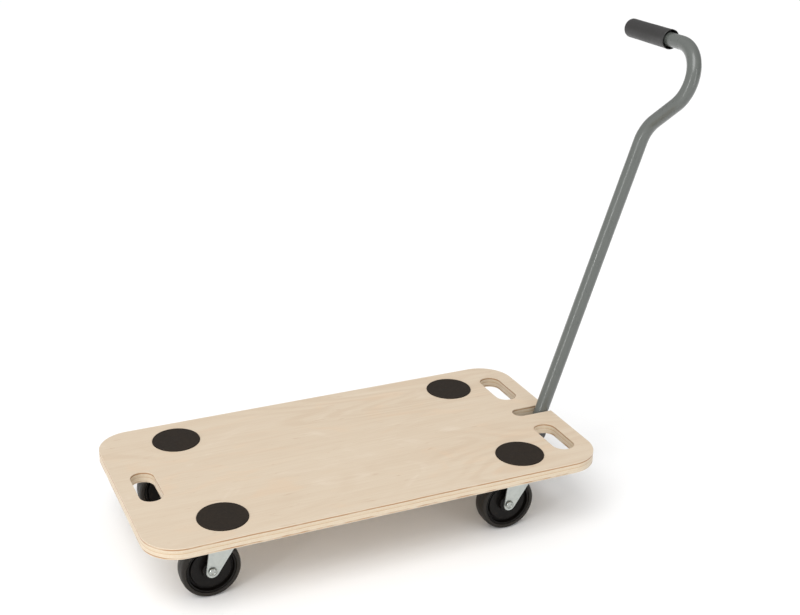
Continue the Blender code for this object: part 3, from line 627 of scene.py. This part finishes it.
class CART_OT_board(Operator):
    """Build the plywood board with its hand holes, handle slot and pad recesses"""

    bl_idname = "cart.board"
    bl_label = "Board"

    def execute(self, context):
        settings = context.scene.cart_board
        low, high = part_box("deck")
        centre = (low + high) / 2
        size = high - low
        below, above = low.z - OVERSHOOT, high.z + OVERSHOOT
        board = plate(size, settings.corner_radius, low.z, high.z, centre, 20)
        hole_size = (settings.hole_width, settings.hole_length)
        for name in HAND_HOLES:
            hole = plate(hole_size, settings.hole_corner, below, above, opening_centre(name), 10)
            board = carved(board, ("DIFFERENCE", hole))
        slot_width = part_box("handle_plug")[1].y * 2 + 2 * settings.slot_gap
        slot_length = settings.slot_depth + slot_width
        slot_centre = (high.x - settings.slot_depth + slot_length / 2, 0.0)
        slot = plate((slot_length, slot_width), slot_width / 2 - WELD, below, above, slot_centre, 12)
        board = carved(board, ("DIFFERENCE", slot))
        board = with_modifier(
            board,
            "BEVEL",
            width=settings.edge_round,
            segments=4,
            limit_method="ANGLE",
            angle_limit=math.radians(60),
        )
        recesses = merged(*(self.recess(corner, high.z, settings) for corner in CORNERS))
        bores = merged(*(self.bore(node, low.z) for node in sorted(frame["nodes"]) if "_screw_" in node))
        board = carved(board, ("DIFFERENCE", recesses), ("DIFFERENCE", bores))
        coat = plywood_coat(settings, low.z, high.z)
        made = piece(board, "plywood_board", coat, "cart", ["deck"])
        even = made.modifiers.new("even_shading", "WEIGHTED_NORMAL")
        even.keep_sharp = True
        return {"FINISHED"}

    @staticmethod
    def recess(corner, top, settings):
        """Cutter for a pad's recess, flared a little at the board's face."""
        centre, size = middle_and_size(f"{corner}_pad")
        radius = size.x / 2 + settings.recess_gap
        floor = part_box(f"{corner}_pad")[0].z - settings.recess_gap
        flare = settings.recess_gap
        profile = [
            (0, floor),
            (radius, floor),
            (radius, top - flare),
            (radius + 2 * flare, top + flare),
            (radius + 2 * flare, top + OVERSHOOT),
            (0, top + OVERSHOOT),
        ]
        return moved(spun(profile, 96), (centre.x, centre.y, 0))

    @staticmethod
    def bore(node_name, bottom):
        """Cutter for a screw's pilot hole."""
        low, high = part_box(node_name)
        centre = (low + high) / 2
        top = high.z + 0.0002
        return moved(post(0.0023, bottom - OVERSHOOT, top, 16), (centre.x, centre.y, 0))


class CART_OT_pads(Operator):
    """Build the round rubber pads in the board"""

    bl_idname = "cart.pads"
    bl_label = "Pads"

    def execute(self, context):
        settings = context.scene.cart_pad
        coat = rubber_coat("pad_rubber", settings.rubber, 0.66, dust=0.16, grit=1100.0, specular=0.18)
        for corner in CORNERS:
            low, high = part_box(f"{corner}_pad")
            centre = (low + high) / 2
            radius = (high.x - low.x) / 2
            face = high.z - settings.rim_height
            profile = [
                (0, low.z),
                (radius, low.z),
                (radius, face),
                (radius - settings.rim_height, high.z),
                (radius - settings.rim_width, high.z),
                (radius - settings.rim_width - settings.rim_height, face),
                (0, face),
            ]
            pad = moved(spun(profile, 96), (centre.x, centre.y, 0))
            name = f"{corner}_rubber_pad"
            piece(pad, name, coat, "cart", [f"{corner}_pad"], 0.00025, 3)
        return {"FINISHED"}


# ---------------------------------------------------------------- casters


class CART_OT_wheels(Operator):
    """Build the plastic wheels and their rubber treads"""

    bl_idname = "cart.wheels"
    bl_label = "Wheels"

    def execute(self, context):
        settings = context.scene.cart_caster
        plastic = plastic_coat("black_plastic", settings.plastic, 0.42)
        rubber = rubber_coat("tread_rubber", settings.tread, 0.46, dust=0.22, grit=900.0, specular=0.26)
        steps = settings.wheel_steps
        for corner in CORNERS:
            _, centre, _ = caster_frame(corner)
            _, core_size = middle_and_size(f"{corner}_wheel")
            _, tyre_size = middle_and_size(f"{corner}_tyre")
            core = along_y(spun(mirrored(self.core(core_size)), steps, ring=True))
            tread = along_y(spun(mirrored(self.tread(centre.z, tyre_size)), steps, ring=True))
            body = f"{corner}_wheel_body"
            piece(moved(core, centre), f"{corner}_wheel_core", plastic, body,
                  [f"{corner}_wheel"], 0.0005, 3)
            piece(moved(tread, centre), f"{corner}_wheel_tread", rubber, body,
                  [f"{corner}_tyre"], 0.0004, 3)
        return {"FINISHED"}

    @staticmethod
    def core(size):
        """Half profile from the bore outwards: hub, dished disc, groove and rim."""
        rim, hub = size.x / 2 - 0.0001, size.y / 2
        return [
            (0.0035, hub - 0.0006),
            (0.0052, hub - 0.0006),
            (0.0056, hub),
            (0.0096, hub),
            (0.0112, hub - 0.0012),
            (0.0122, hub - 0.0064),
            (0.0240, hub - 0.0046),
            (0.0252, hub - 0.0050),
            (0.0259, hub - 0.0076),
            (0.0281, hub - 0.0074),
            (0.0287, hub - 0.0022),
            (rim, hub - 0.0020),
        ]

    @staticmethod
    def tread(radius, size):
        """Half profile from the seat outwards: side wall, shoulder, crown and mould line."""
        side = size.y / 2
        return [
            (radius - 0.0064, side - 0.0012),
            (radius - 0.0058, side - 0.0004),
            (radius - 0.0044, side),
            (radius - 0.0022, side - 0.0004),
            (radius - 0.0010, side - 0.0018),
            (radius - 0.0004, side - 0.0042),
            (radius - 0.0002, side - 0.0074),
            (radius - 0.00015, 0.00045),
            (radius, 0.00020),
        ]


class CART_OT_forks(Operator):
    """Build the pressed steel forks"""

    bl_idname = "cart.forks"
    bl_label = "Forks"

    def execute(self, context):
        settings = context.scene.cart_caster
        coat = zinc_coat("zinc_steel", settings.zinc)
        for corner in CORNERS:
            swivel, wheel, box = caster_frame(corner)
            fork = self.pressed(swivel, wheel, box, settings)
            name = f"{corner}_caster_fork"
            body = f"{corner}_fork_body"
            piece(fork, name, coat, body, [f"{corner}_fork"], 0.0003, 2)
        return {"FINISHED"}

    def pressed(self, swivel, wheel, box, settings):
        """The bent sheet, cut to its side view, with ribs round both legs."""
        low, high = box
        outside = (high.y - low.y) / 2
        inside = outside - settings.sheet
        foot = wheel.z - low.z
        under = high.z - settings.sheet
        reach = low.x - OVERSHOOT, high.x + OVERSHOOT
        sheet = self.section(reach, (outside, inside), (low.z - OVERSHOOT, under, high.z), settings)
        side = self.side_view(swivel, wheel, foot, (under, high), outside + OVERSHOOT, settings)
        pin = post(0.0053, under - OVERSHOOT, high.z + OVERSHOOT)
        axle = along_y(post(0.0033, -outside - OVERSHOOT, outside + OVERSHOOT))
        fork = carved(
            moved(sheet, (0, swivel.y, 0)),
            ("INTERSECT", moved(side, (0, swivel.y, 0))),
            ("DIFFERENCE", moved(pin, (swivel.x, swivel.y, 0))),
            ("DIFFERENCE", moved(axle, wheel)),
        )
        self.rib(fork, swivel.y, outside, settings)
        return fork

    @staticmethod
    def section(reach, halves, heights, settings):
        """Front view of the sheet, carried along X: crown, two bends and two legs."""
        outside, inside = halves
        bottom, under, top = heights
        points = [
            (outside, bottom),
            (outside, top),
            (-outside, top),
            (-outside, bottom),
            (-inside, bottom),
            (-inside, under),
            (inside, under),
            (inside, bottom),
        ]
        bm, corners = outline([(reach[0], y, z) for y, z in points])
        rounded_corners(bm, [corners[5], corners[6]], settings.bend - settings.sheet, 6)
        corners = [vert for vert in bm.verts if vert.co.z > top - WELD]
        rounded_corners(bm, corners, settings.bend, 8)
        return thickened(bm, (reach[1] - reach[0], 0, 0))

    @staticmethod
    def side_view(swivel, wheel, foot, crown, half_width, settings):
        """Side view of a leg, carried along Y: it tapers from the crown to a round foot."""
        under, high = crown
        back = (swivel.x - settings.crown_back, under)
        front = (high.x, under)
        ends = []
        for corner, side in ((back, -1), (front, 1)):
            up, along = corner[1] - wheel.z, corner[0] - wheel.x
            ends.append(math.atan2(up, along) - side * math.acos(foot / math.hypot(up, along)))
        first, last = ends[0], ends[1] + 2 * math.pi
        steps = 24
        swings = [first + (last - first) * step / steps for step in range(steps + 1)]
        foot_arc = [(wheel.x + foot * math.cos(a), wheel.z + foot * math.sin(a)) for a in swings]
        points = [(back[0], high.z), back, *foot_arc, front, (front[0], high.z)]
        bm, _ = outline([(x, -half_width, z) for x, z in points])
        return thickened(bm, (0, 2 * half_width, 0))

    @staticmethod
    def rib(bm, middle, outside, settings):
        """Press each leg's outer panel in, which leaves a rib along its edges."""
        for side in (1, -1):
            panel = [
                face
                for face in bm.faces
                if face.normal.y * side > 0.999
                and abs(face.calc_center_median().y - middle - side * outside) < WELD * 10
            ]
            bmesh.ops.inset_region(
                bm,
                faces=panel,
                thickness=settings.rib_width,
                depth=-settings.rib_height,
                use_boundary=True,
                use_even_offset=True,
            )


class CART_OT_axles(Operator):
    """Build the wheel axles and their lock nuts"""

    bl_idname = "cart.axles"
    bl_label = "Axles"

    def execute(self, context):
        coat = zinc_coat("bright_steel", shaded(context.scene.cart_caster.zinc, 0.82), 0.24)
        for corner in CORNERS:
            _, wheel, fork_box = caster_frame(corner)
            low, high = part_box(f"{corner}_axle")
            nut_low, nut_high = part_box(f"{corner}_axle_nut")
            head = (high.z - low.z) / 2
            face = fork_box[0].y - 0.0003 - wheel.y
            end = high.y - wheel.y
            profile = [
                (0, low.y - wheel.y + 0.0006),
                (head * 0.34, low.y - wheel.y + 0.0006),
                (head * 0.44, low.y - wheel.y),
                (head * 0.72, low.y - wheel.y + 0.0001),
                (head * 0.94, face - 0.0011),
                (head, face - 0.0006),
                (head, face),
                (0.0030, face),
                *threaded(0.00265, 0.0030, nut_low.y - wheel.y, end - 0.0004, 0.0008),
                (0.0022, end),
                (0, end),
            ]
            body = f"{corner}_fork_body"
            bolt = moved(along_y(spun(profile, 40)), wheel)
            piece(bolt, f"{corner}_axle_bolt", coat, body, [f"{corner}_axle"])
            nut = lock_nut(nut_high.z - nut_low.z, nut_high.y - nut_low.y, 0.0033)
            nut = moved(nut, (wheel.x, nut_low.y, wheel.z))
            name = f"{corner}_lock_nut"
            piece(nut, name, coat, body, [f"{corner}_axle_nut"], 0.00015)
        return {"FINISHED"}


def hexagon(flats, low, high, chamfer):
    """A hexagon along Z whose corners are turned down at both ends."""
    corner = flats / math.sqrt(3)
    bm = bmesh.new()
    bmesh.ops.create_circle(bm, cap_ends=True, segments=6, radius=corner)
    thickened(bm, (0, 0, high - low))
    barrel = spun(
        [
            (0, low),
            (corner - chamfer * 1.7, low),
            (corner + WELD, low + chamfer),
            (corner + WELD, high - chamfer),
            (corner - chamfer * 1.7, high),
            (0, high),
        ],
        48,
    )
    return carved(moved(bm, (0, 0, low)), ("INTERSECT", barrel))


def lock_nut(flats, height, bore):
    """Nut along +Y from y = 0: a hexagon, a round collar and the bore through both."""
    body = hexagon(flats, 0.0, height * 0.72, height * 0.10)
    collar = spun(
        [
            (0, height * 0.5),
            (flats * 0.46, height * 0.5),
            (flats * 0.46, height * 0.82),
            (flats * 0.38, height),
            (0, height),
        ],
        40,
    )
    hole = post(bore, -OVERSHOOT, height + OVERSHOOT, 32)
    return along_y(carved(body, ("UNION", collar), ("DIFFERENCE", hole)))


class CART_OT_plates(Operator):
    """Build the caster plates with their pressed ball races, and the swivel pins"""

    bl_idname = "cart.plates"
    bl_label = "Caster plates"

    def execute(self, context):
        coat = zinc_coat("plate_zinc", context.scene.cart_caster.zinc, 0.36)
        for corner in CORNERS:
            swivel, _, _ = caster_frame(corner)
            low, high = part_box(f"{corner}_caster_plate")
            size = high - low
            sheet = 0.0025
            race = low.z
            under = high.z - sheet
            blank = plate(size, 0.007, under, high.z, swivel, 8)
            boss = spun(
                [
                    (0, race),
                    (0.0150, race),
                    (0.0158, race + 0.0005),
                    (0.0172, race + 0.0005),
                    (0.0180, race),
                    (0.0190, race),
                    (0.0205, race + 0.0006),
                    (0.0222, under - 0.0004),
                    (0.0240, under + 0.0002),
                    (0.0240, high.z - 0.0008),
                    (0, high.z - 0.0008),
                ],
                72,
            )
            dish = post(0.0120, race + 0.0025, high.z + OVERSHOOT, 48)
            bore = post(0.0051, race - OVERSHOOT, high.z + OVERSHOOT, 32)
            holes = merged(
                *(self.screw_hole(f"{corner}_screw_{number}", under, high.z) for number in range(1, 5))
            )
            shift = (swivel.x, swivel.y, 0)
            blank = carved(
                blank,
                ("UNION", moved(boss, shift)),
                ("DIFFERENCE", moved(dish, shift)),
                ("DIFFERENCE", moved(bore, shift)),
                ("DIFFERENCE", holes),
            )
            name = f"{corner}_top_plate"
            piece(blank, name, coat, "cart", [f"{corner}_caster_plate"], 0.0003)
            self.pin(corner, shift, coat)
        return {"FINISHED"}

    @staticmethod
    def screw_hole(node_name, low, high):
        centre, _ = middle_and_size(node_name)
        return moved(post(0.0023, low - OVERSHOOT, high + OVERSHOOT, 20), (centre.x, centre.y, 0))

    @staticmethod
    def pin(corner, shift, coat):
        """Riveted swivel pin: a domed head below, a flange in the plate's dish above."""
        low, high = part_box(f"{corner}_kingpin")
        flange = (high.x - low.x) / 2 - 0.0001
        _, _, fork_box = caster_frame(corner)
        head_top = fork_box[1].z - 0.0025 - 0.0003
        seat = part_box(f"{corner}_caster_plate")[0].z + 0.0028
        rim = head_top - 0.0010
        dome = [(radius, rim - drop) for radius, drop in domed(0.0085, 0, rim - low.z)]
        profile = [
            *reversed(dome),
            (0.0085, head_top),
            (0.0048, head_top),
            (0.0048, seat),
            (flange, seat),
            (flange, high.z - 0.0006),
            (flange - 0.0006, high.z),
            (0, high.z),
        ]
        pin = moved(spun(profile, 48), shift)
        piece(pin, f"{corner}_swivel_pin", coat, "cart", [f"{corner}_kingpin"])


class CART_OT_screws(Operator):
    """Build the wood screws with their cross recesses"""

    bl_idname = "cart.screws"
    bl_label = "Screws"

    def execute(self, context):
        coat = zinc_coat("screw_steel", shaded(context.scene.cart_caster.zinc, 0.92), 0.30)
        nodes = [name for name in sorted(frame["nodes"]) if "_screw_" in name]
        low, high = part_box(nodes[0])
        blank = self.screw((high.x - low.x) / 2, high.z - low.z)
        for name in nodes:
            centre, _ = middle_and_size(name)
            copy = moved(blank.copy(), (centre.x, centre.y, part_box(name)[0].z))
            piece(copy, name.replace("_screw_", "_wood_screw_"), coat, "cart", [name])
        blank.free()
        return {"FINISHED"}

    @staticmethod
    def screw(head, height):
        """One screw from its head at z = 0 up to its tip."""
        skirt = 0.0022
        dome = [(radius, skirt - 0.0006 - rise) for radius, rise in domed(head, 0, skirt - 0.0006)]
        profile = [
            *reversed(dome),
            (head - 0.0001, skirt - 0.0003),
            (0.0017, skirt - 0.0003),
            *threaded(0.0014, 0.0019, skirt, height - 0.0026, 0.0011),
            (0, height),
        ]
        blank = spun(profile, 28)
        for turn in (0.0, math.pi / 2):
            bar = bmesh.new()
            bmesh.ops.create_cube(bar, size=1.0)
            bmesh.ops.scale(bar, verts=bar.verts, vec=(head * 1.05, 0.0009, 0.0026))
            bmesh.ops.rotate(bar, verts=bar.verts, cent=(0, 0, 0), matrix=Matrix.Rotation(turn, 3, "Z"))
            blank = carved(blank, ("DIFFERENCE", bar))
        return blank


# ---------------------------------------------------------------- handle


def handle_frame():
    """Hinge place, lean from upright and reach to the grip's centre line."""
    pivot = joint_place("handle_fold")
    grip, _ = middle_and_size("handle_grip")
    across, up = grip.x - pivot.x, grip.z - pivot.z
    return pivot, math.atan2(across, up), math.hypot(across, up)


def onto_handle(bm):
    """Lean a bmesh made in the handle's own frame and set it on the hinge."""
    pivot, lean, _ = handle_frame()
    bmesh.ops.rotate(bm, verts=bm.verts, cent=(0, 0, 0), matrix=Matrix.Rotation(lean, 3, "Y"))
    return moved(bm, pivot)


class CART_OT_tube(Operator):
    """Build the bent, painted tube and the plug in its lower end"""

    bl_idname = "cart.tube"
    bl_label = "Tube"

    def execute(self, context):
        settings = context.scene.cart_handle
        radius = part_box("handle_plug")[1].y
        coat = painted_coat("grey_paint", settings.paint, 0.30)
        tube = self.bent(settings, radius)
        bmesh.ops.recalc_face_normals(tube, faces=tube.faces)
        bmesh.ops.solidify(tube, geom=tube.faces, thickness=settings.wall)
        bolt = along_y(post(0.0033, -radius - OVERSHOOT, radius + OVERSHOOT, 32))
        tube = onto_handle(carved(tube, ("DIFFERENCE", bolt)))
        piece(tube, "pull_tube", coat, "handle", ["handle_tube"])
        plastic = plastic_coat("plug_plastic", context.scene.cart_caster.plastic, 0.45)
        bottom = -settings.tail - 0.0003
        stem = radius - settings.wall - 0.0007
        profile = [
            (0, bottom - 0.0012),
            (radius * 0.55, bottom - 0.0016),
            (radius - 0.0006, bottom - 0.0015),
            (radius, bottom - 0.0009),
            (radius, bottom),
            (stem, bottom),
            (stem, bottom + 0.0020),
            (stem + 0.0003, bottom + 0.0026),
            (stem - 0.0004, bottom + 0.0070),
            (0, bottom + 0.0070),
        ]
        plug = onto_handle(spun(profile, 40))
        piece(plug, "tube_end_plug", plastic, "handle", ["handle_plug"])
        return {"FINISHED"}

    @staticmethod
    def bent(settings, radius):
        """The tube's skin in the handle's own frame: up Z, crook to -Y, grip along +Y."""
        _, _, reach = handle_frame()
        bend, turn = settings.crook_radius, settings.crook_angle
        grip_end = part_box("handle_grip")[1].y
        bm = bmesh.new()
        start = Matrix.Translation((0, 0, -settings.tail))
        bmesh.ops.create_circle(bm, segments=40, radius=radius, matrix=start)

        def straight(edges, way):
            made = bmesh.ops.extrude_edge_only(bm, edges=edges)["geom"]
            bmesh.ops.translate(bm, verts=verts_of(made), vec=way)
            return edges_of(made)

        def round_about(edges, centre, swing):
            verts = list({vert for edge in edges for vert in edge.verts})
            made = bmesh.ops.spin(
                bm,
                geom=verts + edges,
                cent=(0, *centre),
                axis=(1, 0, 0),
                angle=swing,
                steps=round(abs(swing) / math.radians(2.5)),
            )
            return edges_of(made["geom_last"])

        lower = settings.crook_start - bend * math.tan(turn / 2)
        upper = reach - bend
        leg = (upper - bend * math.sin(turn) - settings.crook_start) / math.cos(turn)
        centre = Vector((bend * math.cos(turn) - leg * math.sin(turn), upper))
        outwards = bend * Vector((math.cos(turn), math.sin(turn)))
        leg_start = Vector((-bend, lower)) + outwards
        leg_end = centre - outwards
        ends = straight(list(bm.edges), (0, 0, settings.tail + lower))
        ends = round_about(ends, (-bend, lower), turn)
        ends = straight(ends, (0, *(leg_end - leg_start)))
        ends = round_about(ends, tuple(centre), -(math.pi / 2 + turn))
        straight(ends, (0, grip_end - 0.0043 - centre.x, 0))
        return bm


class CART_OT_grip(Operator):
    """Build the rubber grip with its hollow mouth and rounded end"""

    bl_idname = "cart.grip"
    bl_label = "Grip"

    def execute(self, context):
        settings = context.scene.cart_handle
        _, _, reach = handle_frame()
        low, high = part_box("handle_grip")
        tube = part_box("handle_plug")[1].y
        start, long = low.y, high.y - low.y
        radius = tube + 0.00365
        rim = radius + 0.0003
        end_round = 0.0048
        profile = [
            (0, long - 0.0040),
            (tube + 0.0002, long - 0.0040),
            (tube + 0.0002, settings.mouth_depth),
            (rim - settings.mouth_lip, settings.mouth_depth - 0.0010),
            (rim - settings.mouth_lip, 0.0003),
            (rim - settings.mouth_lip + 0.0003, 0),
            (rim - 0.0005, 0),
            (rim, 0.0006),
            (rim, 0.0030),
            (radius, 0.0042),
            (radius, long * 0.35),
            (radius - 0.0002, long * 0.65),
            (radius - 0.0001, long - end_round),
            *[
                (
                    radius - end_round + end_round * math.cos(swing),
                    long - end_round + end_round * math.sin(swing),
                )
                for swing in (math.radians(15 * step) for step in range(1, 6))
            ],
            (radius - end_round - 0.0010, long),
            (0, long - 0.0002),
        ]
        grip = moved(along_y(spun(profile, 64)), (0, start, reach))
        coat = rubber_coat("grip_rubber", settings.rubber, 0.40, dust=0.12, grit=1800.0, specular=0.42)
        piece(onto_handle(grip), "hand_grip", coat, "handle", ["handle_grip"])
        return {"FINISHED"}


class CART_OT_hinge(Operator):
    """Build the hinge plate with its two cheeks, the hinge bolt and its nut"""

    bl_idname = "cart.hinge"
    bl_label = "Hinge"

    def execute(self, context):
        settings = context.scene.cart_handle
        steel = painted_coat("dark_steel", settings.steel, 0.42)
        dark = painted_coat("dark_bolt", shaded(settings.steel, 1.6), 0.34, metallic=0.6)
        pivot = joint_place("handle_fold")
        low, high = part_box("hinge_bracket")
        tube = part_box("handle_plug")[1].y
        sheet, cheek_in = 0.003, tube + 0.0005
        cheek_out = cheek_in + sheet
        under = high.z - sheet
        cheek_radius = pivot.z - low.z
        centre = ((low.x + high.x) / 2, 0.0)
        flange = plate((high.x - low.x, high.y - low.y), 0.006, under, high.z, centre, 8)
        cheeks = [self.cheek(pivot, cheek_radius, under + sheet / 2, side * cheek_in, side * cheek_out)
                  for side in (1, -1)]
        slot_end = high.x - slot_depth_in_plate(context)
        slot_length = high.x - slot_end + 2 * cheek_in
        slot = plate((slot_length, 2 * cheek_in), cheek_in - WELD, under - OVERSHOOT,
                     high.z + OVERSHOOT, (slot_end + slot_length / 2, 0.0), 12)
        bolt_hole = moved(along_y(post(0.0033, -cheek_out - OVERSHOOT, cheek_out + OVERSHOOT)), pivot)
        holes = merged(
            *(CART_OT_plates.screw_hole(f"hinge_screw_{number}", under, high.z) for number in range(1, 5))
        )
        bracket = carved(
            flange,
            ("UNION", cheeks[0]),
            ("UNION", cheeks[1]),
            ("DIFFERENCE", slot),
            ("DIFFERENCE", bolt_hole),
            ("DIFFERENCE", holes),
        )
        piece(bracket, "hinge_plate", steel, "cart", ["hinge_bracket"], 0.0004, 2)
        self.bolt(pivot, cheek_out, dark)
        nut_low, nut_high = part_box("hinge_nut")
        nut = moved(lock_nut(nut_high.z - nut_low.z, nut_high.y - nut_low.y, 0.0033),
                    (pivot.x, nut_low.y, pivot.z))
        piece(nut, "hinge_lock_nut", dark, "cart", ["hinge_nut"], 0.0002)
        return {"FINISHED"}

    @staticmethod
    def cheek(pivot, radius, top, y0, y1):
        """One cheek: a plate hanging from the flange, round about the hinge bolt."""
        bm, corners = outline(
            [
                (pivot.x - radius, y0, top),
                (pivot.x - radius, y0, pivot.z - radius),
                (pivot.x + radius, y0, pivot.z - radius),
                (pivot.x + radius, y0, top),
            ]
        )
        rounded_corners(bm, corners[1:3], radius - WELD, 14)
        return thickened(bm, (0, y1 - y0, 0))

    @staticmethod
    def bolt(pivot, cheek_out, coat):
        low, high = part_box("hinge_bolt")
        face = -cheek_out - 0.0003
        head = hexagon(high.z - low.z, low.y, face - 0.0004, 0.0005)
        washer = post((high.z - low.z) * 0.46, face - 0.0008, face, 40)
        nut_low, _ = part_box("hinge_nut")
        shank = spun(
            [
                (0, face - 0.0010),
                (0.0030, face - 0.0010),
                (0.0030, nut_low.y - 0.0010),
                *threaded(0.0026, 0.0030, nut_low.y, high.y - 0.0005, 0.0008),
                (0.0023, high.y),
                (0, high.y),
            ],
            36,
        )
        bolt = along_y(carved(head, ("UNION", washer), ("UNION", shank)))
        piece(moved(bolt, pivot), "hinge_bolt_hex", coat, "cart", ["hinge_bolt"])


def slot_depth_in_plate(context):
    """Slot depth measured from the hinge plate's front edge."""
    _, deck_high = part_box("deck")
    _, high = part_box("hinge_bracket")
    return context.scene.cart_board.slot_depth - (deck_high.x - high.x)


# ---------------------------------------------------------------- studio


class CART_OT_studio(Operator):
    """Set the pale floor, the soft lights and the camera"""

    bl_idname = "cart.studio"
    bl_label = "Studio"

    def execute(self, context):
        settings = context.scene.cart_studio
        self.floor(settings)
        self.sky(context.scene, settings)
        self.overhead(settings)
        self.strip("left_strip", settings.strip, (-1.9, -1.1, 1.1), 0.08)
        self.strip("front_strip", settings.strip * 0.5, (0.9, -2.3, 1.2), 0.06)
        self.camera(context.scene, settings)
        context.scene.view_settings.view_transform = "Standard"
        return {"FINISHED"}

    @staticmethod
    def floor(settings):
        coat, tree, shader = new_coat("studio_floor", settings.floor, 0.75, specular_ior_level=0.2)
        clouds = noise(tree, (3, 3, 3), 3.0, 0.5)
        duller = shaded(settings.floor, 0.985)
        tone = mixed(tree, between(tree, clouds, 0.3, 0.7, 0.0, 0.5), settings.floor, duller)
        paint_with(tree, shader, tone)
        ground = plate((90.0, 90.0), 1.0, -0.02, 0.0)
        mesh = bpy.data.meshes.new("studio_floor")
        ground.to_mesh(mesh)
        ground.free()
        mesh.materials.append(coat)
        made = bpy.data.objects.new("studio_floor", mesh)
        bpy.context.scene.collection.objects.link(made)

    @staticmethod
    def sky(scene, settings):
        """Even light from all round, dimmer from the right and the back."""
        world = bpy.data.worlds.new("studio_sky")
        world.use_nodes = True
        tree = world.node_tree
        towards = (-0.75, -0.45, 0.48)
        way = node(tree, "VectorMath", {0: object_way(tree), 1: towards}, operation="DOT_PRODUCT")
        power = between(tree, way.outputs["Value"], -0.5, 0.7, settings.dim, settings.sky)
        tree.links.new(power, tree.nodes["Background"].inputs["Strength"])
        tree.nodes["Background"].inputs["Color"].default_value = (1.0, 1.0, 1.0, 1.0)
        scene.world = world

    @staticmethod
    def overhead(settings):
        """A broad, even light from above the camera's left."""
        lamp = bpy.data.lights.new("overhead_light", "SUN")
        lamp.energy = settings.sun
        lamp.angle = math.radians(40)
        made = bpy.data.objects.new("overhead_light", lamp)
        made.rotation_euler = Vector((0.45, 0.40, -1.0)).to_track_quat("-Z", "Y").to_euler()
        bpy.context.scene.collection.objects.link(made)

    @staticmethod
    def strip(name, power, place, width):
        """An upright strip light that faces the cart."""
        lamp = bpy.data.lights.new(name, "AREA")
        lamp.shape = "RECTANGLE"
        lamp.energy = power
        lamp.size, lamp.size_y = width, 2.0
        made = bpy.data.objects.new(name, lamp)
        made.location = place
        aim = Vector((0.1, 0.0, place[2])) - Vector(place)
        made.rotation_euler = aim.to_track_quat("-Z", "Y").to_euler()
        made.visible_camera = False
        bpy.context.scene.collection.objects.link(made)

    @staticmethod
    def camera(scene, settings):
        lens = bpy.data.cameras.new("studio_camera")
        lens.lens = settings.lens
        lens.sensor_width = 36.0
        lens.shift_x, lens.shift_y = settings.shift
        made = bpy.data.objects.new("studio_camera", lens)
        turn = (
            Matrix.Rotation(-settings.heading, 4, "Z")
            @ Matrix.Rotation(math.pi / 2 - settings.tilt, 4, "X")
            @ Matrix.Rotation(settings.roll, 4, "Z")
        )
        made.matrix_world = Matrix.Translation(settings.place) @ turn
        scene.collection.objects.link(made)
        scene.camera = made


# ---------------------------------------------------------------- panel and registration


OPERATORS = (
    CART_OT_board,
    CART_OT_pads,
    CART_OT_wheels,
    CART_OT_forks,
    CART_OT_axles,
    CART_OT_plates,
    CART_OT_screws,
    CART_OT_tube,
    CART_OT_grip,
    CART_OT_hinge,
    CART_OT_studio,
)
SETTINGS = {
    "cart_board": BoardSettings,
    "cart_pad": PadSettings,
    "cart_caster": CasterSettings,
    "cart_handle": HandleSettings,
    "cart_studio": StudioSettings,
}


class CART_PT_looks(Panel):
    """Lists the cart's operators and settings"""

    bl_idname = "CART_PT_looks"
    bl_label = "Platform Cart"
    bl_space_type = "VIEW_3D"
    bl_region_type = "UI"
    bl_category = "Cart"

    def draw(self, context):
        for operator in OPERATORS:
            self.layout.operator(operator.bl_idname)
        for name, group in SETTINGS.items():
            box = self.layout.box()
            for setting in group.__annotations__:
                box.prop(getattr(context.scene, name), setting)


def register():
    for group in (*SETTINGS.values(), *OPERATORS, CART_PT_looks):
        bpy.utils.register_class(group)
    for name, group in SETTINGS.items():
        setattr(bpy.types.Scene, name, PointerProperty(type=group))


def unregister():
    for name in SETTINGS:
        delattr(bpy.types.Scene, name)
    for group in reversed((*SETTINGS.values(), *OPERATORS, CART_PT_looks)):
        bpy.utils.unregister_class(group)


def main():
    register()
    bpy.ops.cart.board()
    bpy.ops.cart.pads()
    bpy.ops.cart.wheels()
    bpy.ops.cart.forks()
    bpy.ops.cart.axles()
    bpy.ops.cart.plates()
    bpy.ops.cart.screws()
    bpy.ops.cart.tube()
    bpy.ops.cart.grip()
    bpy.ops.cart.hinge()
    bpy.ops.cart.studio()


if __name__ == "__main__":
    main()
